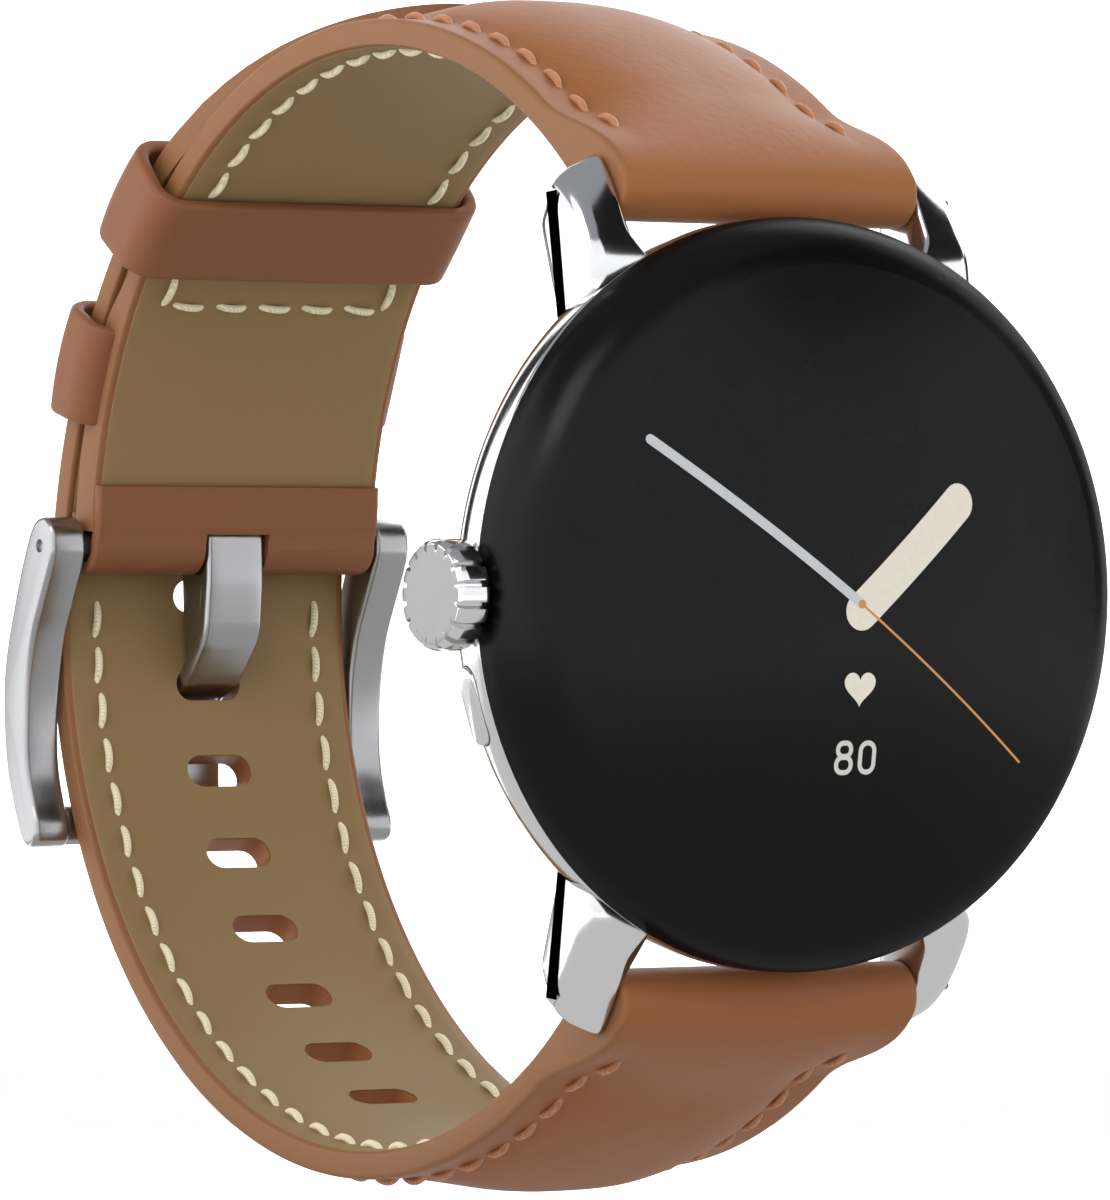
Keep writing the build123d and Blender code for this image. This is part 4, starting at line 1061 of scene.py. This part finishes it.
def stitches(name, places, mat, length=2.2, radius=0.23, arch=0.2):
    """Stitches, each given by its middle, its direction and the way out of the leather."""
    points, faces = [], []
    rings, sides = 9, 8
    draw = random.Random(5)
    for middle, along, out in places:
        middle, along, out = Vector(middle), Vector(along).normalized(), Vector(out).normalized()
        slant = along.cross(out) * draw.uniform(0.03, 0.12)
        along = (along + slant).normalized()
        aside = along.cross(out).normalized()
        base = len(points)
        stretch = length * draw.uniform(0.96, 1.03)
        for k in range(rings):
            t = 2 * k / (rings - 1) - 1
            spine = middle + along * (t * stretch / 2) + out * (arch * (1 - t * t) - arch * 0.7 * abs(t) ** 3)
            r = radius * (1 - 0.35 * t ** 4)
            for s in range(sides):
                a = 2 * pi * s / sides
                points.append(tuple(spine + aside * (r * cos(a)) + out * (r * sin(a))))
        faces += bands(base, rings, sides)
        faces.append(tuple(base + s for s in range(sides)))
        faces.append(tuple(base + (rings - 1) * sides + s for s in reversed(range(sides))))
    return add_object(name, points, faces, [mat])


def row(place, radius, start, end, x_places, sign=1, pitch=2.72, thick=None):
    """Even stitches along a strap on both sides, at a radius, pointing in (1) or out (-1)."""
    step = degrees(pitch / radius)
    found = []
    for i in range(int(abs(end - start) / step)):
        angle = start + i * step * (1 if end > start else -1)
        y, z = place(angle, radius + (thick(angle, STITCH_X) if thick else 0.0))
        y2, z2 = place(angle + 0.5, radius + (thick(angle + 0.5, STITCH_X) if thick else 0.0))
        ry, rz = z2 - z, -(y2 - y)
        size = hypot(ry, rz)
        ry, rz = ry / size, rz / size
        for x in x_places:
            found.append(((x, y, z), (0, y2 - y, z2 - z), (0, -sign * ry, -sign * rz)))
    return found


# The second, darker colour of each thread is painted shade for the grooves of its twist.
cream = thread_material("cream_thread", srgb(232, 222, 190), srgb(205, 192, 156))
tan_thread = thread_material("tan_thread", srgb(184, 122, 78), srgb(158, 98, 60))
STITCH_X = 7.66
BOTH_SIDES = (-STITCH_X, STITCH_X)


def top_place(angle, radius):
    """Point on the 12 o'clock strap's arc."""
    return polar(TOP, radius, angle)


def inner_stitch(x, angle, across):
    """One stitch on the 12 o'clock lining, along the strap or across it."""
    y, z = top_place(angle, TOP_R - 0.05)
    c, s = cos(radians(angle)), sin(radians(angle))
    return (x, y, z), (1, 0, 0) if across else (0, -s, c), (0, -c, -s)


inner_12 = row(top_place, TOP_R - 0.05, 49.6, 133, BOTH_SIDES)
inner_12 += [inner_stitch(x, 33.9, False) for x in BOTH_SIDES]
inner_12 += [inner_stitch(-6.0 + 3.0 * i, 31.8, True) for i in range(5)]
cream_12 = stitches("strap_12_cream_thread", inner_12, cream)
outer_12 = row(top_place, TOP_R, 130.4, 33, BOTH_SIDES, -1, thick=top_thick)
tan_12 = stitches("strap_12_tan_thread", outer_12, tan_thread)
for obj in (cream_12, tan_12):
    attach(obj, "watch")
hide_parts("strap_12_stitching")
inner_6 = row(bottom_point, BOTTOM_R - 0.05, -1.5, -131, BOTH_SIDES)
cream_6 = stitches("strap_6_cream_thread", inner_6, cream)
outer_6 = row(bottom_point, BOTTOM_R, -131.6, 57, BOTH_SIDES, -1, thick=bottom_thick)
tan_6 = stitches("strap_6_tan_thread", outer_6, tan_thread)
for obj in (cream_6, tan_6):
    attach(obj, "watch")
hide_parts("strap_6_stitching")

# ---------------------------------------------------------------- back, spring bars and inside
# Satin steel back with its screws and dark sensor window; everything under it keeps its
# CAD shape.
window = black_glass("sensor_glass", srgb(12, 12, 14), 0.04, 0.06)
plastic = textured("dark_plastic", srgb(38, 38, 40), 0.5, vary=0.12, bump=0.01)
for end in ("12", "6"):
    for part in ("tube", "spring", "tip_left", "tip_right"):
        dress(f"spring_bar_{end}_{part}", satin)
for name in ("back_cover", "crown_stem", "crown_tube", "crown_clip", "processor_shield"):
    dress(name, satin)
dress("back_screws", chrome)
dress("sensor_window", window)
dress("back_seal", seal)
dress("crown_o_rings", seal)
dress("display_panel", textured("panel_glass", srgb(20, 20, 24), 0.2, vary=0.1))
board = textured("circuit_board", srgb(22, 78, 48), 0.45, vary=0.15, scale=2500.0, bump=0.01)
copper = textured("copper_coil", (0.72, 0.36, 0.2), 0.35, metal=1.0, vary=0.1)
for name in ("main_board", "sensor_board"):
    dress(name, board)
for name in ("chassis", "haptic_motor", "speaker", "microphone", "crown_push_plate", "crown_switch",
             "crown_encoder", "side_button_switch", "sensor_leds"):
    dress(name, plastic)
dress("charging_coil", copper)
dress("display_flex", textured("amber_flex", srgb(176, 110, 30), 0.4, vary=0.1))
dress("battery", textured("battery_foil", (0.6, 0.61, 0.62), 0.35, metal=0.8, vary=0.08, scale=1200.0))
